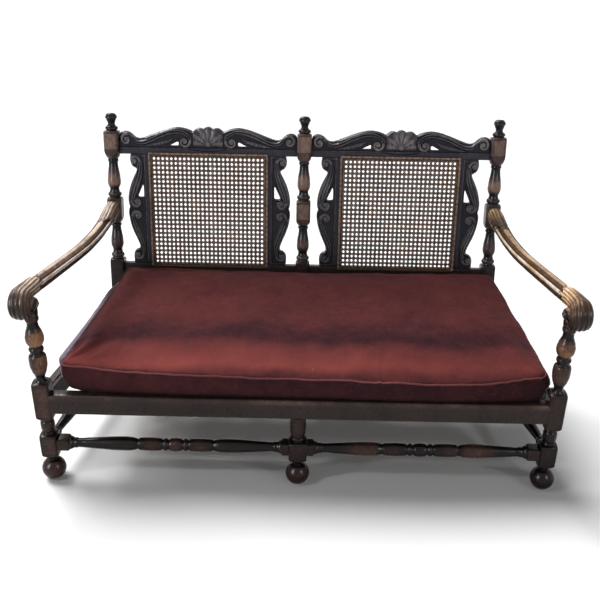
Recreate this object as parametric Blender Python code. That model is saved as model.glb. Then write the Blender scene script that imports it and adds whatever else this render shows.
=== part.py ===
"""Two-seat settee with caned back panels, turned posts, scrolled arms and one loose seat cushion.

Metres, +Z up, the front faces -Y, the origin is at the bottom centre of the bounding box.
"""

import math

import bmesh
import bpy
from mathutils import Matrix, Vector

# Span and height of the frame
front_span = 1.379  # corner post axis to corner post axis
back_span = 1.200  # outer stile axis to outer stile axis
seat_depth = 0.556  # post axis to stile axis at the seat
seat_rail_top = 0.285
seat_rail_height = 0.057
stretcher_height = 0.119  # axis of every stretcher above the floor
back_rake = math.radians(9.4)
rake_start = 0.300  # the stiles lean back from this height up
knee_rise = 0.010  # first row of the raked part above that height
leg_knee = 0.215  # the back legs splay from this height down
leg_splay = 0.030

# Stock and joints
post_stock = 0.046
middle_stock = 0.050
stile_stock = 0.045
joint_gap = 0.0003  # clearance between pieces that touch
tenon_depth = 0.014
tenon_shoulder = 0.008
pin_radius = 0.009
shoulder = 0.007  # height of the sloped ends of a square block
shoulder_share = 0.80
overrun = 0.010  # how far a cutter or a joined tenon runs past the face it works on

# Heights of the blocks on the front posts
foot_radius = 0.035
foot_flat = 0.002  # taken off the bottom of each ball
foot_neck = 0.026
lower_block_low = 0.080
lower_block_high = 0.152
upper_block_low = 0.205
upper_block_high = 0.320
middle_block_low = 0.084
middle_block_high = 0.146

# Heights up the raked stiles, measured from the start of the rake
base_block_high = 0.132
arm_block_low = 0.250
arm_block_high = 0.330
crest_block_low = 0.463
crest_block_high = 0.535
finial_top = 0.591

# Back panels
crest_low = 0.467
crest_height = 0.087
crest_thickness = 0.026
crest_lip = 0.012  # band under the crest that carries the top row of the cane
lower_rail_low = 0.066
lower_rail_high = 0.117
lower_rail_thickness = 0.026
panel_front = 0.012  # front faces of the back members stand this far in front of the stile axes
slat_thickness = 0.020
slat_width = 0.0815
slat_gap = 0.020  # between a slat's widest scroll and the stile
carved_chamfer = 0.0025
cane_cover = 0.012  # the cane lies this far onto its frame
cane_thickness = 0.0016
cane_columns = 8
cane_rows = 8
cane_strand_share = 0.30

# Seat frame
front_rail_thickness = 0.037
front_rail_setback = 0.001  # rail face behind the face of the post blocks
rail_thickness = 0.032
rail_round = 0.006
rabbet_width = 0.010
cross_rail_width = 0.034
cross_rail_drop = 0.023  # below the top of the seat rails
strap_width = 0.050
strap_thickness = 0.0014
strap_bearing = 0.008
rabbet_depth = 2 * (strap_thickness + joint_gap)  # both layers of webbing end flush with the rails
long_straps = 4
cross_straps = 10

# Stretchers
stretcher_stock = 0.037
outer_stretcher_block = 0.034
inner_stretcher_block = 0.021
side_stretcher_outset = 0.007  # the side stretchers run outside the line from post to stile
stretcher_pin = 0.016
stretcher_pin_radius = 0.008

# Arms
arm_width = 0.042
arm_height = 0.027
arm_back_outset = 0.004
arm_rise = 0.030  # the arm sags this far below its end at the stile
arm_above_block = 0.0099  # arm's end above the middle of the stile's block
roll_radius = 0.045
roll_width = 0.050
roll_outset = -0.002
roll_forward = 0.038
roll_sink = 0.0232  # centre of the roll below the front end of the arm
boss_radius = 0.020
inner_boss_height = 0.009
outer_boss_height = 0.006
arm_pad_share = 0.405  # radius of the pad over the post, as a share of the post's stock
arm_tenon_width = 0.022
arm_tenon_height = 0.028

# Cushion
cushion_side_gap = 0.0425  # front corners inside the axes of the front posts
cushion_setback = 0.012  # front corners behind the axes of the front posts
cushion_back_gap = 0.036  # foot of the back edge in front of the axes of the stiles
cushion_front_bow = 0.022
cushion_side_bow = 0.008
cushion_shift = 0.016  # the loose cushion lies a little towards one side
cushion_front_edge = 0.071
cushion_back_edge = 0.112
cushion_crown = 0.018
cushion_corner = 0.030
cushion_welt = 0.004

# Counts of faces
turned_sides = 12
roll_sides = 24
cushion_corner_steps = 4
cushion_side_steps = 7
foot_steps = 7
rail_round_steps = 4
smooth_angle = math.radians(35)

# Turned profiles, each row (share of the length, share of the stock)
vase_shares = (
    (0.05, 0.88), (0.11, 0.93), (0.15, 0.70), (0.21, 0.66), (0.29, 0.82), (0.37, 0.91),
    (0.46, 0.85), (0.64, 0.70), (0.84, 0.63), (0.90, 0.76), (0.96, 0.76),
)
finial_shares = (
    (0.08, 0.88), (0.22, 0.86), (0.30, 0.58), (0.44, 0.50), (0.56, 0.66), (0.68, 0.82),
    (0.80, 0.82), (0.92, 0.64), (1.00, 0.24),
)
arm_support_shares = (
    (0.05, 0.54), (0.09, 0.66), (0.17, 0.86), (0.25, 0.97), (0.33, 1.03), (0.40, 0.93), (0.43, 0.70),
    (0.455, 0.70), (0.475, 0.84), (0.495, 0.84), (0.515, 0.74), (0.57, 0.95), (0.63, 1.06), (0.70, 0.98),
    (0.78, 0.74), (0.84, 0.63), (0.87, 0.65), (0.895, 0.78), (1.00, 0.80),
)
post_neck_shares = ((0.12, 0.68), (0.24, 0.78), (0.50, 0.82), (0.76, 0.78), (0.88, 0.68))
middle_neck_shares = (
    (0.08, 0.78), (0.15, 0.84), (0.22, 0.78), (0.32, 0.84), (0.55, 0.89), (0.80, 0.86), (0.92, 0.92),
    (1.00, 0.98),
)
front_stretcher_shares = (
    (0.02, 0.84), (0.035, 0.97), (0.055, 0.97), (0.07, 0.80), (0.10, 0.74), (0.26, 0.88), (0.42, 1.03),
    (0.52, 1.05), (0.60, 0.96), (0.635, 0.80), (0.66, 0.90), (0.75, 1.00), (0.85, 0.93),
    (0.88, 0.80), (0.91, 0.92), (0.935, 0.82), (0.965, 0.96), (1.00, 1.02),
)
plain_stretcher_shares = (
    (0.00, 0.56), (0.07, 0.62), (0.10, 0.84), (0.15, 0.66), (0.45, 0.90), (0.66, 0.96), (0.84, 0.70),
    (0.89, 0.92), (1.00, 1.00),
)

# Right half of the top of a crest rail, from the stile to the middle, (share of half length, share of height)
crest_top_shares = (
    (1.000, 0.62), (0.985, 0.73), (0.955, 0.79), (0.920, 0.80), (0.885, 0.77), (0.850, 0.69),
    (0.815, 0.595), (0.775, 0.560), (0.725, 0.590), (0.640, 0.690), (0.540, 0.810), (0.440, 0.915),
    (0.345, 0.965), (0.265, 0.935), (0.205, 0.875), (0.172, 0.830), (0.150, 0.880), (0.118, 0.945),
    (0.085, 0.950), (0.050, 0.925), (0.030, 0.975), (0.000, 1.000),
)
crest_hole_shares = ((0.335, 0.32), (0.455, 0.32), (0.455, 0.38), (0.395, 0.46), (0.350, 0.43))

# Outer edge of a carved slat, from its foot up, (share of the width, share of the height)
slat_edge_shares = (
    (0.84, 0.000), (0.87, 0.035), (0.87, 0.075), (0.83, 0.108), (0.74, 0.130), (0.645, 0.138), (0.62, 0.160),
    (0.66, 0.200), (0.75, 0.250), (0.86, 0.310), (0.96, 0.385), (1.00, 0.450), (0.995, 0.495), (0.955, 0.522),
    (0.985, 0.550), (1.00, 0.590), (0.97, 0.650), (0.88, 0.725), (0.76, 0.790), (0.66, 0.835), (0.62, 0.862),
    (0.70, 0.878), (0.79, 0.893), (0.85, 0.925), (0.86, 0.962), (0.82, 1.000),
)
slat_slot_shares = ((0.38, 0.630), (0.50, 0.640), (0.49, 0.690), (0.42, 0.715), (0.37, 0.700))

# An arm from back to front, (share of the run, share of the rise, width share, height share)
arm_station_shares = (
    (0.00, 1.00, 1.05, 1.60), (0.05, 0.80, 1.10, 1.55), (0.11, 0.47, 1.06, 1.35), (0.15, 0.27, 1.00, 1.05),
    (0.23, 0.08, 1.00, 1.00), (0.36, 0.00, 1.00, 1.00), (0.46, 0.10, 1.00, 1.00), (0.56, 0.30, 1.00, 1.00),
    (0.69, 0.55, 1.00, 1.00), (0.78, 0.73, 1.02, 1.02), (0.86, 0.90, 1.08, 1.18), (0.93, 0.94, 1.12, 1.32),
    (1.00, 0.84, 1.16, 1.40),
)
# The roll across its width, (share of half the width, share of the radius)
roll_shares = ((-1.0, 0.90), (-0.84, 1.0), (0.84, 1.0), (1.0, 0.90))
# Half of an arm's section from the middle of its underside to its ridge, (share of width, share of height)
arm_section_shares = (
    (0.24, -0.50), (0.44, -0.36), (0.50, -0.06), (0.47, 0.10), (0.39, 0.12), (0.30, 0.28), (0.16, 0.46),
)

# Rows of the cushion: (inset in welts, share of the edge height, share of the crown)
cushion_row_shares = (
    (2.0, 0.0, 0.0), (1.0, 0.03, 0.0), (0.6, 0.15, 0.0), (1.4, 0.50, 0.0), (0.3, 0.85, 0.0), (0.0, 1.0, 0.0),
    (4.0, 1.0, 0.30), (11.0, 1.0, 0.66), (24.0, 1.0, 0.92), (42.0, 1.0, 1.0),
)

wood_colour = (0.030, 0.014, 0.009, 1.0)
worn_colour = (0.110, 0.046, 0.020, 1.0)
cane_colour = (0.210, 0.115, 0.045, 1.0)
webbing_colour = (0.300, 0.220, 0.120, 1.0)
velvet_colour = (0.095, 0.010, 0.009, 1.0)
wood_roughness = 0.30
cane_roughness = 0.50
cloth_roughness = 0.88

# Places that follow from the sizes above
depth_behind_stile = max(
    (crest_block_high + share * (finial_top - crest_block_high)) * math.sin(back_rake)
    + size * stile_stock / 2 * math.cos(math.pi / turned_sides) * math.cos(back_rake)
    for share, size in finial_shares
)
front_reach = roll_forward + roll_radius * math.cos(math.pi / roll_sides)
overall_depth = front_reach + seat_depth + depth_behind_stile
post_y = front_reach - overall_depth / 2
stile_y = post_y + seat_depth
post_x = front_span / 2
stile_x = back_span / 2
seat_rail_bottom = seat_rail_top - seat_rail_height
panel_half = (back_span / 2 - stile_stock) / 2
cane_opening = 2 * (panel_half - slat_gap - slat_width)
arm_rail_height = (arm_block_low + arm_block_high) / 2
arm_low = rake_start + arm_rail_height * math.cos(back_rake) + arm_above_block - arm_rise
roll_height = arm_low + arm_rise * arm_station_shares[-1][1] - roll_sink
arm_pad_radius = arm_pad_share * post_stock
roll_drop = math.sqrt(roll_radius ** 2 - (roll_forward - arm_pad_radius) ** 2)
post_top = roll_height - roll_drop - joint_gap
slat_height = crest_low - lower_rail_high
strap_pitch = back_span / cross_straps
cushion_front_width = front_span - 2 * cushion_side_gap
cushion_back_width = back_span
cushion_depth = seat_depth - cushion_setback - cushion_back_gap


def clear_scene():
    for old in list(bpy.data.objects):
        bpy.data.objects.remove(old, do_unlink=True)


def make_material(name, colour, roughness):
    material = bpy.data.materials.new(name + "_finish")
    material.use_nodes = True
    shader = material.node_tree.nodes["Principled BSDF"]
    shader.inputs["Base Color"].default_value = colour
    shader.inputs["Roughness"].default_value = roughness
    shader.inputs["Metallic"].default_value = 0.0
    return material


def add_object(name, bm, parent=None):
    bmesh.ops.recalc_face_normals(bm, faces=bm.faces)
    mesh = bpy.data.meshes.new(name)
    bm.to_mesh(mesh)
    bm.free()
    obj = bpy.data.objects.new(name, mesh)
    bpy.context.collection.objects.link(obj)
    obj.parent = parent
    return obj


def add_piece(name, bm, colour, roughness=wood_roughness, parent=None):
    """A named piece with its own finish."""
    obj = add_object(name, bm, parent)
    obj.data.shade_smooth()
    obj.data.set_sharp_from_angle(angle=smooth_angle)
    obj.data.materials.append(make_material(name, colour, roughness))
    return obj


def add_guide(name, bm, parent=None):
    """A shape that only cuts or joins others."""
    obj = add_object(name, bm, parent)
    obj.hide_render = True
    obj.display_type = "WIRE"
    return obj


def combine(target, guide, operation):
    modifier = target.modifiers.new(guide.name, "BOOLEAN")
    modifier.operation = operation
    modifier.solver = "EXACT"
    modifier.object = guide


def skin(bm, rings):
    """Faces between rings with equal numbers of points, closed at both ends."""
    loops = [[bm.verts.new(point) for point in ring] for ring in rings]
    for lower, upper in zip(loops, loops[1:]):
        for i in range(len(lower)):
            j = (i + 1) % len(lower)
            bm.faces.new((lower[i], lower[j], upper[j], upper[i]))
    bm.faces.new(loops[0])
    bm.faces.new(loops[-1])
    return bm


def box_mesh(low, high, grow=0.0):
    corners = ((low[0], low[1]), (high[0], low[1]), (high[0], high[1]), (low[0], high[1]))
    signs = ((-1, -1), (1, -1), (1, 1), (-1, 1))
    rings = []
    for z in (low[2] - grow, high[2] + grow):
        rings.append([(x + sx * grow, y + sy * grow, z) for (x, y), (sx, sy) in zip(corners, signs)])
    return skin(bmesh.new(), rings)


def section_ring(size, square, matrix, sides=turned_sides):
    """One section of a post: round, or square with its corners on the diagonals."""
    ring = []
    for k in range(sides):
        angle = (k + 0.5) * math.tau / sides
        reach = size / 2
        if square:
            reach = size / 2 / max(abs(math.cos(angle)), abs(math.sin(angle)))
        ring.append(matrix @ Vector((reach * math.cos(angle), reach * math.sin(angle), 0)))
    return ring


def turned(shares, start, end, stock):
    """Rows (height, size, square) of a turned stretch between two heights."""
    return [(start + share * (end - start), size * stock, False) for share, size in shares]


def block(low, high, stock):
    """Rows of a square block with sloped shoulders."""
    return [
        (low, stock * shoulder_share, True), (low + shoulder, stock, True),
        (high - shoulder, stock, True), (high, stock * shoulder_share, True),
    ]


def rod_mesh(start, end, radius, sides=turned_sides):
    """A plain round bar from one point to another."""
    axis = Vector(end) - Vector(start)
    turn = axis.to_track_quat("Z", "Y").to_matrix().to_4x4()
    rings = []
    for point in (start, end):
        rings.append(section_ring(2 * radius, False, Matrix.Translation(point) @ turn, sides))
    return skin(bmesh.new(), rings)


def tenon_joint(name, owner, holder, low, high, parent=None):
    """A square tenon joined to its owner and a mortise for it in the holder."""
    tenon = add_guide(name + "_tenon", box_mesh(low, high), parent)
    combine(owner, tenon, "UNION")
    mortise = add_guide(name + "_mortise", box_mesh(low, high, joint_gap), parent)
    combine(holder, mortise, "DIFFERENCE")


def pin_joint(name, owner, holder, start, end, radius):
    """A round tenon joined to its owner and a hole for it in the holder; the pin ends at end."""
    pin = add_guide(name + "_pin", rod_mesh(start, end, radius))
    combine(owner, pin, "UNION")
    along = (Vector(end) - Vector(start)).normalized() * joint_gap
    hole = add_guide(name + "_hole", rod_mesh(start, Vector(end) + along, radius + joint_gap))
    combine(holder, hole, "DIFFERENCE")


def smooth_line(points, steps=2):
    """Points of a Catmull-Rom curve through the given points."""
    ends = [points[0]] + list(points) + [points[-1]]
    line = []
    for a, b, c, d in zip(ends, ends[1:], ends[2:], ends[3:]):
        for step in range(steps):
            t = step / steps
            line.append(tuple(
                b[i] + (c[i] - a[i]) * t / 2 + (a[i] - 5 * b[i] / 2 + 2 * c[i] - d[i] / 2) * t * t
                + (3 * (b[i] - c[i]) + d[i] - a[i]) * t ** 3 / 2
                for i in range(len(b))
            ))
    line.append(tuple(points[-1]))
    return line


# Posts, legs and stiles


def foot_rows():
    """The ball foot and the neck above it, from the floor up."""
    centre = foot_radius - foot_flat
    rows = []
    neck_angle = math.acos(foot_neck / 2 / foot_radius)
    flat_angle = -math.asin(centre / foot_radius)
    for k in range(foot_steps + 1):
        angle = flat_angle + (neck_angle - flat_angle) * k / foot_steps
        rows.append((centre + foot_radius * math.sin(angle), 2 * foot_radius * math.cos(angle), False))
    return rows


def build_front_post(side, label):
    rows = foot_rows()
    rows += block(lower_block_low, lower_block_high, post_stock)
    rows += turned(post_neck_shares, lower_block_high, upper_block_low, post_stock)
    rows += block(upper_block_low, upper_block_high, post_stock)
    rows += turned(arm_support_shares, upper_block_high, post_top, post_stock)
    rings = [
        section_ring(size, square, Matrix.Translation((side * post_x, post_y, height)))
        for height, size, square in rows
    ]
    return add_piece("front_post_" + label, skin(bmesh.new(), rings), wood_colour)


def build_middle_leg():
    rows = foot_rows()
    rows += block(middle_block_low, middle_block_high, middle_stock)
    rows += turned(middle_neck_shares, middle_block_high, seat_rail_bottom - joint_gap, middle_stock)
    rings = [
        section_ring(size, square, Matrix.Translation((0, post_y, height)))
        for height, size, square in rows
    ]
    return add_piece("middle_front_leg", skin(bmesh.new(), rings), wood_colour)


def build_stile(x, label):
    """A back leg that runs on up as a turned stile with its finial."""
    rings = []
    for height, back in ((0, leg_splay), (leg_knee, 0), (rake_start, 0)):
        rings.append(section_ring(stile_stock, True, Matrix.Translation((x, stile_y + back, height))))
    rows = block(knee_rise, base_block_high, stile_stock)[2:]
    rows += turned(vase_shares, base_block_high, arm_block_low, stile_stock)
    rows += block(arm_block_low, arm_block_high, stile_stock)
    rows += turned(vase_shares, arm_block_high, crest_block_low, stile_stock)
    rows += block(crest_block_low, crest_block_high, stile_stock)
    rows += turned(finial_shares, crest_block_high, finial_top, stile_stock)
    lean = Matrix.Translation((x, stile_y, rake_start)) @ Matrix.Rotation(-back_rake, 4, "X")
    for height, size, square in rows:
        rings.append(section_ring(size, square, lean @ Matrix.Translation((0, 0, height))))
    return add_piece("stile_" + label, skin(bmesh.new(), rings), wood_colour)


# Seat frame


def rail_outline(thickness, rounded):
    """Section of a seat rail, (distance from its outer face, height), with the webbing rabbet inside."""
    outline = [(0, seat_rail_bottom), (thickness, seat_rail_bottom)]
    outline += [(thickness, seat_rail_top - rabbet_depth)]
    outline += [(thickness - rabbet_width, seat_rail_top - rabbet_depth)]
    outline += [(thickness - rabbet_width, seat_rail_top)]
    if not rounded:
        return outline + [(0, seat_rail_top)]
    for k in range(rail_round_steps + 1):
        angle = math.pi / 2 * k / rail_round_steps
        outline.append((
            rail_round * (1 - math.sin(angle)), seat_rail_top - rail_round * (1 - math.cos(angle))
        ))
    return outline


def build_front_rail(posts, middle_leg):
    face = post_y - post_stock / 2 + front_rail_setback
    reach = post_x - post_stock / 2 - joint_gap
    outline = rail_outline(front_rail_thickness, True)
    rings = [[(x, face + inward, height) for inward, height in outline] for x in (-reach, reach)]
    rail = add_piece("front_seat_rail", skin(bmesh.new(), rings), wood_colour)
    for side, post in zip((-1, 1), posts):
        ends = sorted((side * (reach - overrun), side * (reach + tenon_depth)))
        inner = face + front_rail_thickness - rabbet_width
        tenon_joint(
            "front_rail_%s" % post.name, rail, post,
            (ends[0], face + tenon_shoulder, seat_rail_bottom + tenon_shoulder),
            (ends[1], inner, seat_rail_top - rabbet_depth - tenon_shoulder),
        )
    pin_joint(
        "middle_leg", middle_leg, rail, (0, post_y, seat_rail_bottom - overrun),
        (0, post_y, seat_rail_bottom + tenon_depth), pin_radius,
    )
    return rail


def side_rail_x(y):
    """Middle of a side rail, which runs from the post to the stile."""
    return post_x + (stile_x - post_x) * (y - post_y) / seat_depth


def build_side_rail(side, label, post, stile):
    front = post_y + post_stock / 2 + joint_gap
    back = stile_y - stile_stock / 2 - joint_gap
    outline = rail_outline(rail_thickness, False)
    rings = []
    for y in (front, back):
        outer = side_rail_x(y) + rail_thickness / 2
        rings.append([(side * (outer - inward), y, height) for inward, height in outline])
    rail = add_piece("side_seat_rail_" + label, skin(bmesh.new(), rings), wood_colour)
    half = rail_thickness / 2 - tenon_shoulder
    for y, way, holder in ((front, -1, post), (back, 1, stile)):
        ends = sorted((y - way * overrun, y + way * tenon_depth))
        middle = side * (side_rail_x(y) + (rabbet_width - tenon_shoulder) / 2)
        tenon_joint(
            "side_rail_%s" % holder.name, rail, holder,
            (middle - half, ends[0], seat_rail_bottom + tenon_shoulder),
            (middle + half, ends[1], seat_rail_top - rabbet_depth - tenon_shoulder),
        )
    return rail


def build_rear_rail(side, label, stiles):
    """One of the two rails between the stiles at the back of the seat."""
    inner = stile_stock / 2 + joint_gap
    outer = stile_x - stile_stock / 2 - joint_gap
    back = stile_y + rail_thickness / 2
    outline = rail_outline(rail_thickness, False)
    rings = [[(side * x, back - inward, height) for inward, height in outline] for x in (inner, outer)]
    rail = add_piece("rear_seat_rail_" + label, skin(bmesh.new(), rings), wood_colour)
    half = rail_thickness / 2 - tenon_shoulder
    for x, way, holder in ((inner, -1, stiles[0]), (outer, 1, stiles[1])):
        ends = sorted((side * (x - way * overrun), side * (x + way * tenon_depth)))
        tenon_joint(
            "rear_rail_%s_%s" % (label, holder.name), rail, holder,
            (ends[0], stile_y + tenon_shoulder - half, seat_rail_bottom + tenon_shoulder),
            (ends[1], stile_y + tenon_shoulder, seat_rail_top - rabbet_depth - tenon_shoulder),
        )
    return rail


def build_cross_rail(front_rail, stile):
    """The bearer that ties the front rail to the middle stile under the webbing."""
    front = post_y - post_stock / 2 + front_rail_setback + front_rail_thickness + joint_gap
    back = stile_y - stile_stock / 2 - joint_gap
    top = seat_rail_top - cross_rail_drop
    half = cross_rail_width / 2
    rail = add_piece(
        "seat_cross_rail", box_mesh((-half, front, seat_rail_bottom), (half, back, top)), wood_colour
    )
    for y, way, holder in ((front, -1, front_rail), (back, 1, stile)):
        ends = sorted((y - way * overrun, y + way * tenon_depth))
        tenon_joint(
            "cross_rail_%s" % holder.name, rail, holder,
            (tenon_shoulder - half, ends[0], seat_rail_bottom + 2 * tenon_shoulder),
            (half - tenon_shoulder, ends[1], top - tenon_shoulder / 2),
        )
    return rail


# Stretchers


def stretcher_mesh(start, end, shares, blocks):
    """A bar whose turning is alike at both ends, between two square ends of the given lengths."""
    axis = Vector(end) - Vector(start)
    turn = axis.to_track_quat("Z", "Y").to_matrix().to_4x4()
    turned_length = axis.length - sum(blocks)
    places = [share / 2 for share, size in shares] + [1 - share / 2 for share, size in reversed(shares[:-1])]
    sizes = [size for share, size in shares] + [size for share, size in reversed(shares[:-1])]
    rows = [(blocks[0] + place * turned_length, size, False) for place, size in zip(places, sizes)]
    if blocks[0]:
        rows = [(0, 1, True), (blocks[0] - shoulder, 1, True), (blocks[0], shoulder_share, True)] + rows
    if blocks[1]:
        inner = axis.length - blocks[1]
        rows += [(inner, shoulder_share, True), (inner + shoulder, 1, True), (axis.length, 1, True)]
    rings = []
    for along, size, square in rows:
        place = Matrix.Translation(Vector(start) + axis.normalized() * along) @ turn
        rings.append(section_ring(size * stretcher_stock, square, place))
    return skin(bmesh.new(), rings)


def build_stretcher(name, start, end, holders, shares, blocks=(0, 0)):
    stretcher = add_piece(name, stretcher_mesh(start, end, shares, blocks), wood_colour)
    along = (Vector(end) - Vector(start)).normalized()
    for point, way, holder in ((Vector(start), -1, holders[0]), (Vector(end), 1, holders[1])):
        pin_joint(
            "%s_%s" % (name, holder.name), stretcher, holder,
            point - along * way * overrun, point + along * way * stretcher_pin, stretcher_pin_radius,
        )
    return stretcher


def build_stretchers(posts, middle_leg, stiles):
    half_post = post_stock / 2 + joint_gap
    half_middle = middle_stock / 2 + joint_gap
    half_stile = stile_stock / 2 + joint_gap
    leg_y = stile_y + leg_splay * (1 - stretcher_height / leg_knee)
    slant = (post_x - stile_x) / (leg_y - post_y)
    splay_room = stretcher_stock * leg_splay / leg_knee  # a leaning leg needs a little more room
    for side, label, post, stile in ((-1, "left", posts[0], stiles[0]), (1, "right", posts[1], stiles[2])):
        build_stretcher(
            "front_stretcher_" + label,
            (side * (post_x - half_post), post_y, stretcher_height),
            (side * half_middle, post_y, stretcher_height),
            (post, middle_leg), front_stretcher_shares, (outer_stretcher_block, inner_stretcher_block),
        )
        front = half_post + stretcher_stock * slant / 2
        back = leg_y - post_y - half_stile - stretcher_stock * slant / 2 - splay_room
        outer = post_x + side_stretcher_outset
        build_stretcher(
            "side_stretcher_" + label,
            (side * (outer - slant * front), post_y + front, stretcher_height),
            (side * (outer - slant * back), post_y + back, stretcher_height),
            (post, stile), plain_stretcher_shares,
        )
        build_stretcher(
            "rear_stretcher_" + label,
            (side * (stile_x - half_stile), leg_y, stretcher_height),
            (side * half_stile, leg_y, stretcher_height),
            (stile, stiles[1]), plain_stretcher_shares,
        )
    build_stretcher(
        "centre_stretcher", (0, post_y + half_middle, stretcher_height),
        (0, leg_y - half_stile - splay_room, stretcher_height),
        (middle_leg, stiles[1]), plain_stretcher_shares,
    )


# Back panels


def carved_board(outline, thickness):
    """A board in the plane of the back, chamfered all round its front edge."""
    bm = bmesh.new()
    front = -panel_front + carved_chamfer
    back = -panel_front + thickness
    ends = [[bm.verts.new((x, y, z)) for x, z in outline] for y in (back, front)]
    bm.faces.new(ends[0])
    face = bm.faces.new(ends[1])
    for i in range(len(outline)):
        j = (i + 1) % len(outline)
        bm.faces.new((ends[0][i], ends[0][j], ends[1][j], ends[1][i]))
    bmesh.ops.recalc_face_normals(bm, faces=bm.faces)
    bmesh.ops.inset_region(
        bm, faces=[face], thickness=carved_chamfer, depth=carved_chamfer, use_even_offset=True
    )
    return bm


def cut_through(target, name, outline, parent):
    """Pierce a board with a hole of the given outline."""
    rings = [[(x, y, z) for x, z in outline] for y in (-panel_front - overrun, panel_front + overrun)]
    combine(target, add_guide(name, skin(bmesh.new(), rings), parent), "DIFFERENCE")


def build_crest(middle, label, back, stiles):
    half = panel_half - joint_gap
    top = smooth_line([(x * half, crest_low + z * crest_height) for x, z in crest_top_shares])
    outline = [(middle + x, z) for x, z in top] + [(middle - x, z) for x, z in reversed(top[:-1])]
    lip = cane_opening / 2 - joint_gap
    outline += [(middle - half, crest_low), (middle - lip, crest_low), (middle - lip, crest_low - crest_lip)]
    outline += [(middle + lip, crest_low - crest_lip), (middle + lip, crest_low), (middle + half, crest_low)]
    crest = add_piece("crest_rail_" + label, carved_board(outline, crest_thickness), wood_colour, parent=back)
    for way in (-1, 1):
        hole = [(middle + way * x * half, crest_low + z * crest_height) for x, z in crest_hole_shares]
        cut_through(crest, "crest_%s_hole_%d" % (label, way), hole, back)
        edge = middle + way * half
        ends = sorted((edge - way * overrun, edge + way * tenon_depth))
        tenon_joint(
            "crest_%s_%d" % (label, way), crest, stiles[0 if way < 0 else 1],
            (ends[0], tenon_shoulder - panel_front, crest_low + tenon_shoulder / 2),
            (ends[1], crest_thickness - panel_front - tenon_shoulder, crest_block_high - tenon_shoulder),
            back,
        )
    return crest


def build_lower_rail(middle, label, back, stiles):
    half = panel_half - joint_gap
    rail = add_piece(
        "lower_back_rail_" + label,
        box_mesh(
            (middle - half, -panel_front, lower_rail_low),
            (middle + half, lower_rail_thickness - panel_front, lower_rail_high),
        ),
        wood_colour, parent=back,
    )
    for way in (-1, 1):
        edge = middle + way * half
        ends = sorted((edge - way * overrun, edge + way * tenon_depth))
        tenon_joint(
            "lower_rail_%s_%d" % (label, way), rail, stiles[0 if way < 0 else 1],
            (ends[0], tenon_shoulder - panel_front, lower_rail_low + tenon_shoulder),
            (ends[1], lower_rail_thickness - panel_front - tenon_shoulder, lower_rail_high - tenon_shoulder),
            back,
        )
    return rail


def build_slat(middle, way, name, back, crest, rail):
    """A scrolled slat with a straight inner edge that carries the cane."""
    inner = middle + way * cane_opening / 2
    low = lower_rail_high + joint_gap
    height = slat_height - 2 * joint_gap
    edge = smooth_line([(inner + way * x * slat_width, low + z * height) for x, z in slat_edge_shares])
    outline = [(inner, low)] + edge + [(inner, low + height)]
    slat = add_piece(name, carved_board(outline, slat_thickness), wood_colour, parent=back)
    slot = [(inner + way * x * slat_width, low + z * height) for x, z in slat_slot_shares]
    cut_through(slat, name + "_slot", slot, back)
    ends = sorted((inner + way * tenon_shoulder, inner + way * (slat_width / 2 - tenon_shoulder)))
    depth = (tenon_shoulder / 2 - panel_front, slat_thickness - panel_front - tenon_shoulder / 2)
    spans = ((low - tenon_depth, low + overrun), (low + height - overrun, low + height + tenon_depth))
    for holder, span in zip((rail, crest), spans):
        tenon_joint(
            "%s_%s" % (name, holder.name), slat, holder,
            (ends[0], depth[0], span[0]), (ends[1], depth[1], span[1]), back,
        )
    return slat


def grid_lines(low, high, first, last, count):
    """Edges of the strands across a net: its rim, then each gap's two edges."""
    pitch = (last - first) / count
    strand = pitch * cane_strand_share
    lines = [low]
    for k in range(count):
        lines += [first + k * pitch + strand / 2, first + (k + 1) * pitch - strand / 2]
    return lines + [high]


def build_cane(middle, label, back):
    """The woven cane as a flat net that lies on the face of its frame."""
    half = cane_opening / 2
    low = lower_rail_high
    high = crest_low - crest_lip
    left = middle - half
    right = middle + half
    xs = grid_lines(left - cane_cover, right + cane_cover, left, right, cane_columns)
    zs = grid_lines(low - cane_cover, high + cane_cover, low, high, cane_rows)
    front = -panel_front - joint_gap - cane_thickness
    bm = bmesh.new()
    points = [[bm.verts.new((x, front, z)) for z in zs] for x in xs]
    faces = []
    for i in range(len(xs) - 1):
        for j in range(len(zs) - 1):
            if i % 2 == 0 or j % 2 == 0:
                corners = (points[i][j], points[i + 1][j], points[i + 1][j + 1], points[i][j + 1])
                faces.append(bm.faces.new(corners))
    made = bmesh.ops.extrude_face_region(bm, geom=faces, use_keep_orig=True)
    moved = [item for item in made["geom"] if isinstance(item, bmesh.types.BMVert)]
    bmesh.ops.translate(bm, verts=moved, vec=(0, cane_thickness, 0))
    return add_piece("cane_panel_" + label, bm, cane_colour, cane_roughness, back)


# Arms


def arm_section(width, height, matrix):
    right = [(x * width, z * height) for x, z in arm_section_shares]
    outline = right + [(0, height / 2)] + [(-x, z) for x, z in reversed(right)]
    return [matrix @ Vector((x, 0, z)) for x, z in outline]


def arm_mesh(side):
    """The swept part of an arm, from the face of the stile into the front roll."""
    half_stile = (stile_stock / 2 + joint_gap) / math.cos(back_rake)
    start_y = stile_y + arm_rail_height * math.sin(back_rake) - half_stile
    end_y = post_y - roll_forward
    start_x = stile_x + arm_back_outset
    end_x = post_x + roll_outset
    rings = []
    for share, rise, width, height in arm_station_shares:
        y = start_y + (end_y - start_y) * share
        x = start_x + (end_x - start_x) * share
        z = arm_low + rise * arm_rise
        if share == 0:
            y += arm_above_block * math.tan(back_rake)
        tilt = -back_rake * max(0.0, 1 - share / arm_station_shares[3][0])
        matrix = Matrix.Translation((side * x, y, z)) @ Matrix.Rotation(tilt, 4, "X")
        rings.append(arm_section(width * arm_width, height * arm_height, matrix))
    return skin(bmesh.new(), rings)


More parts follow.
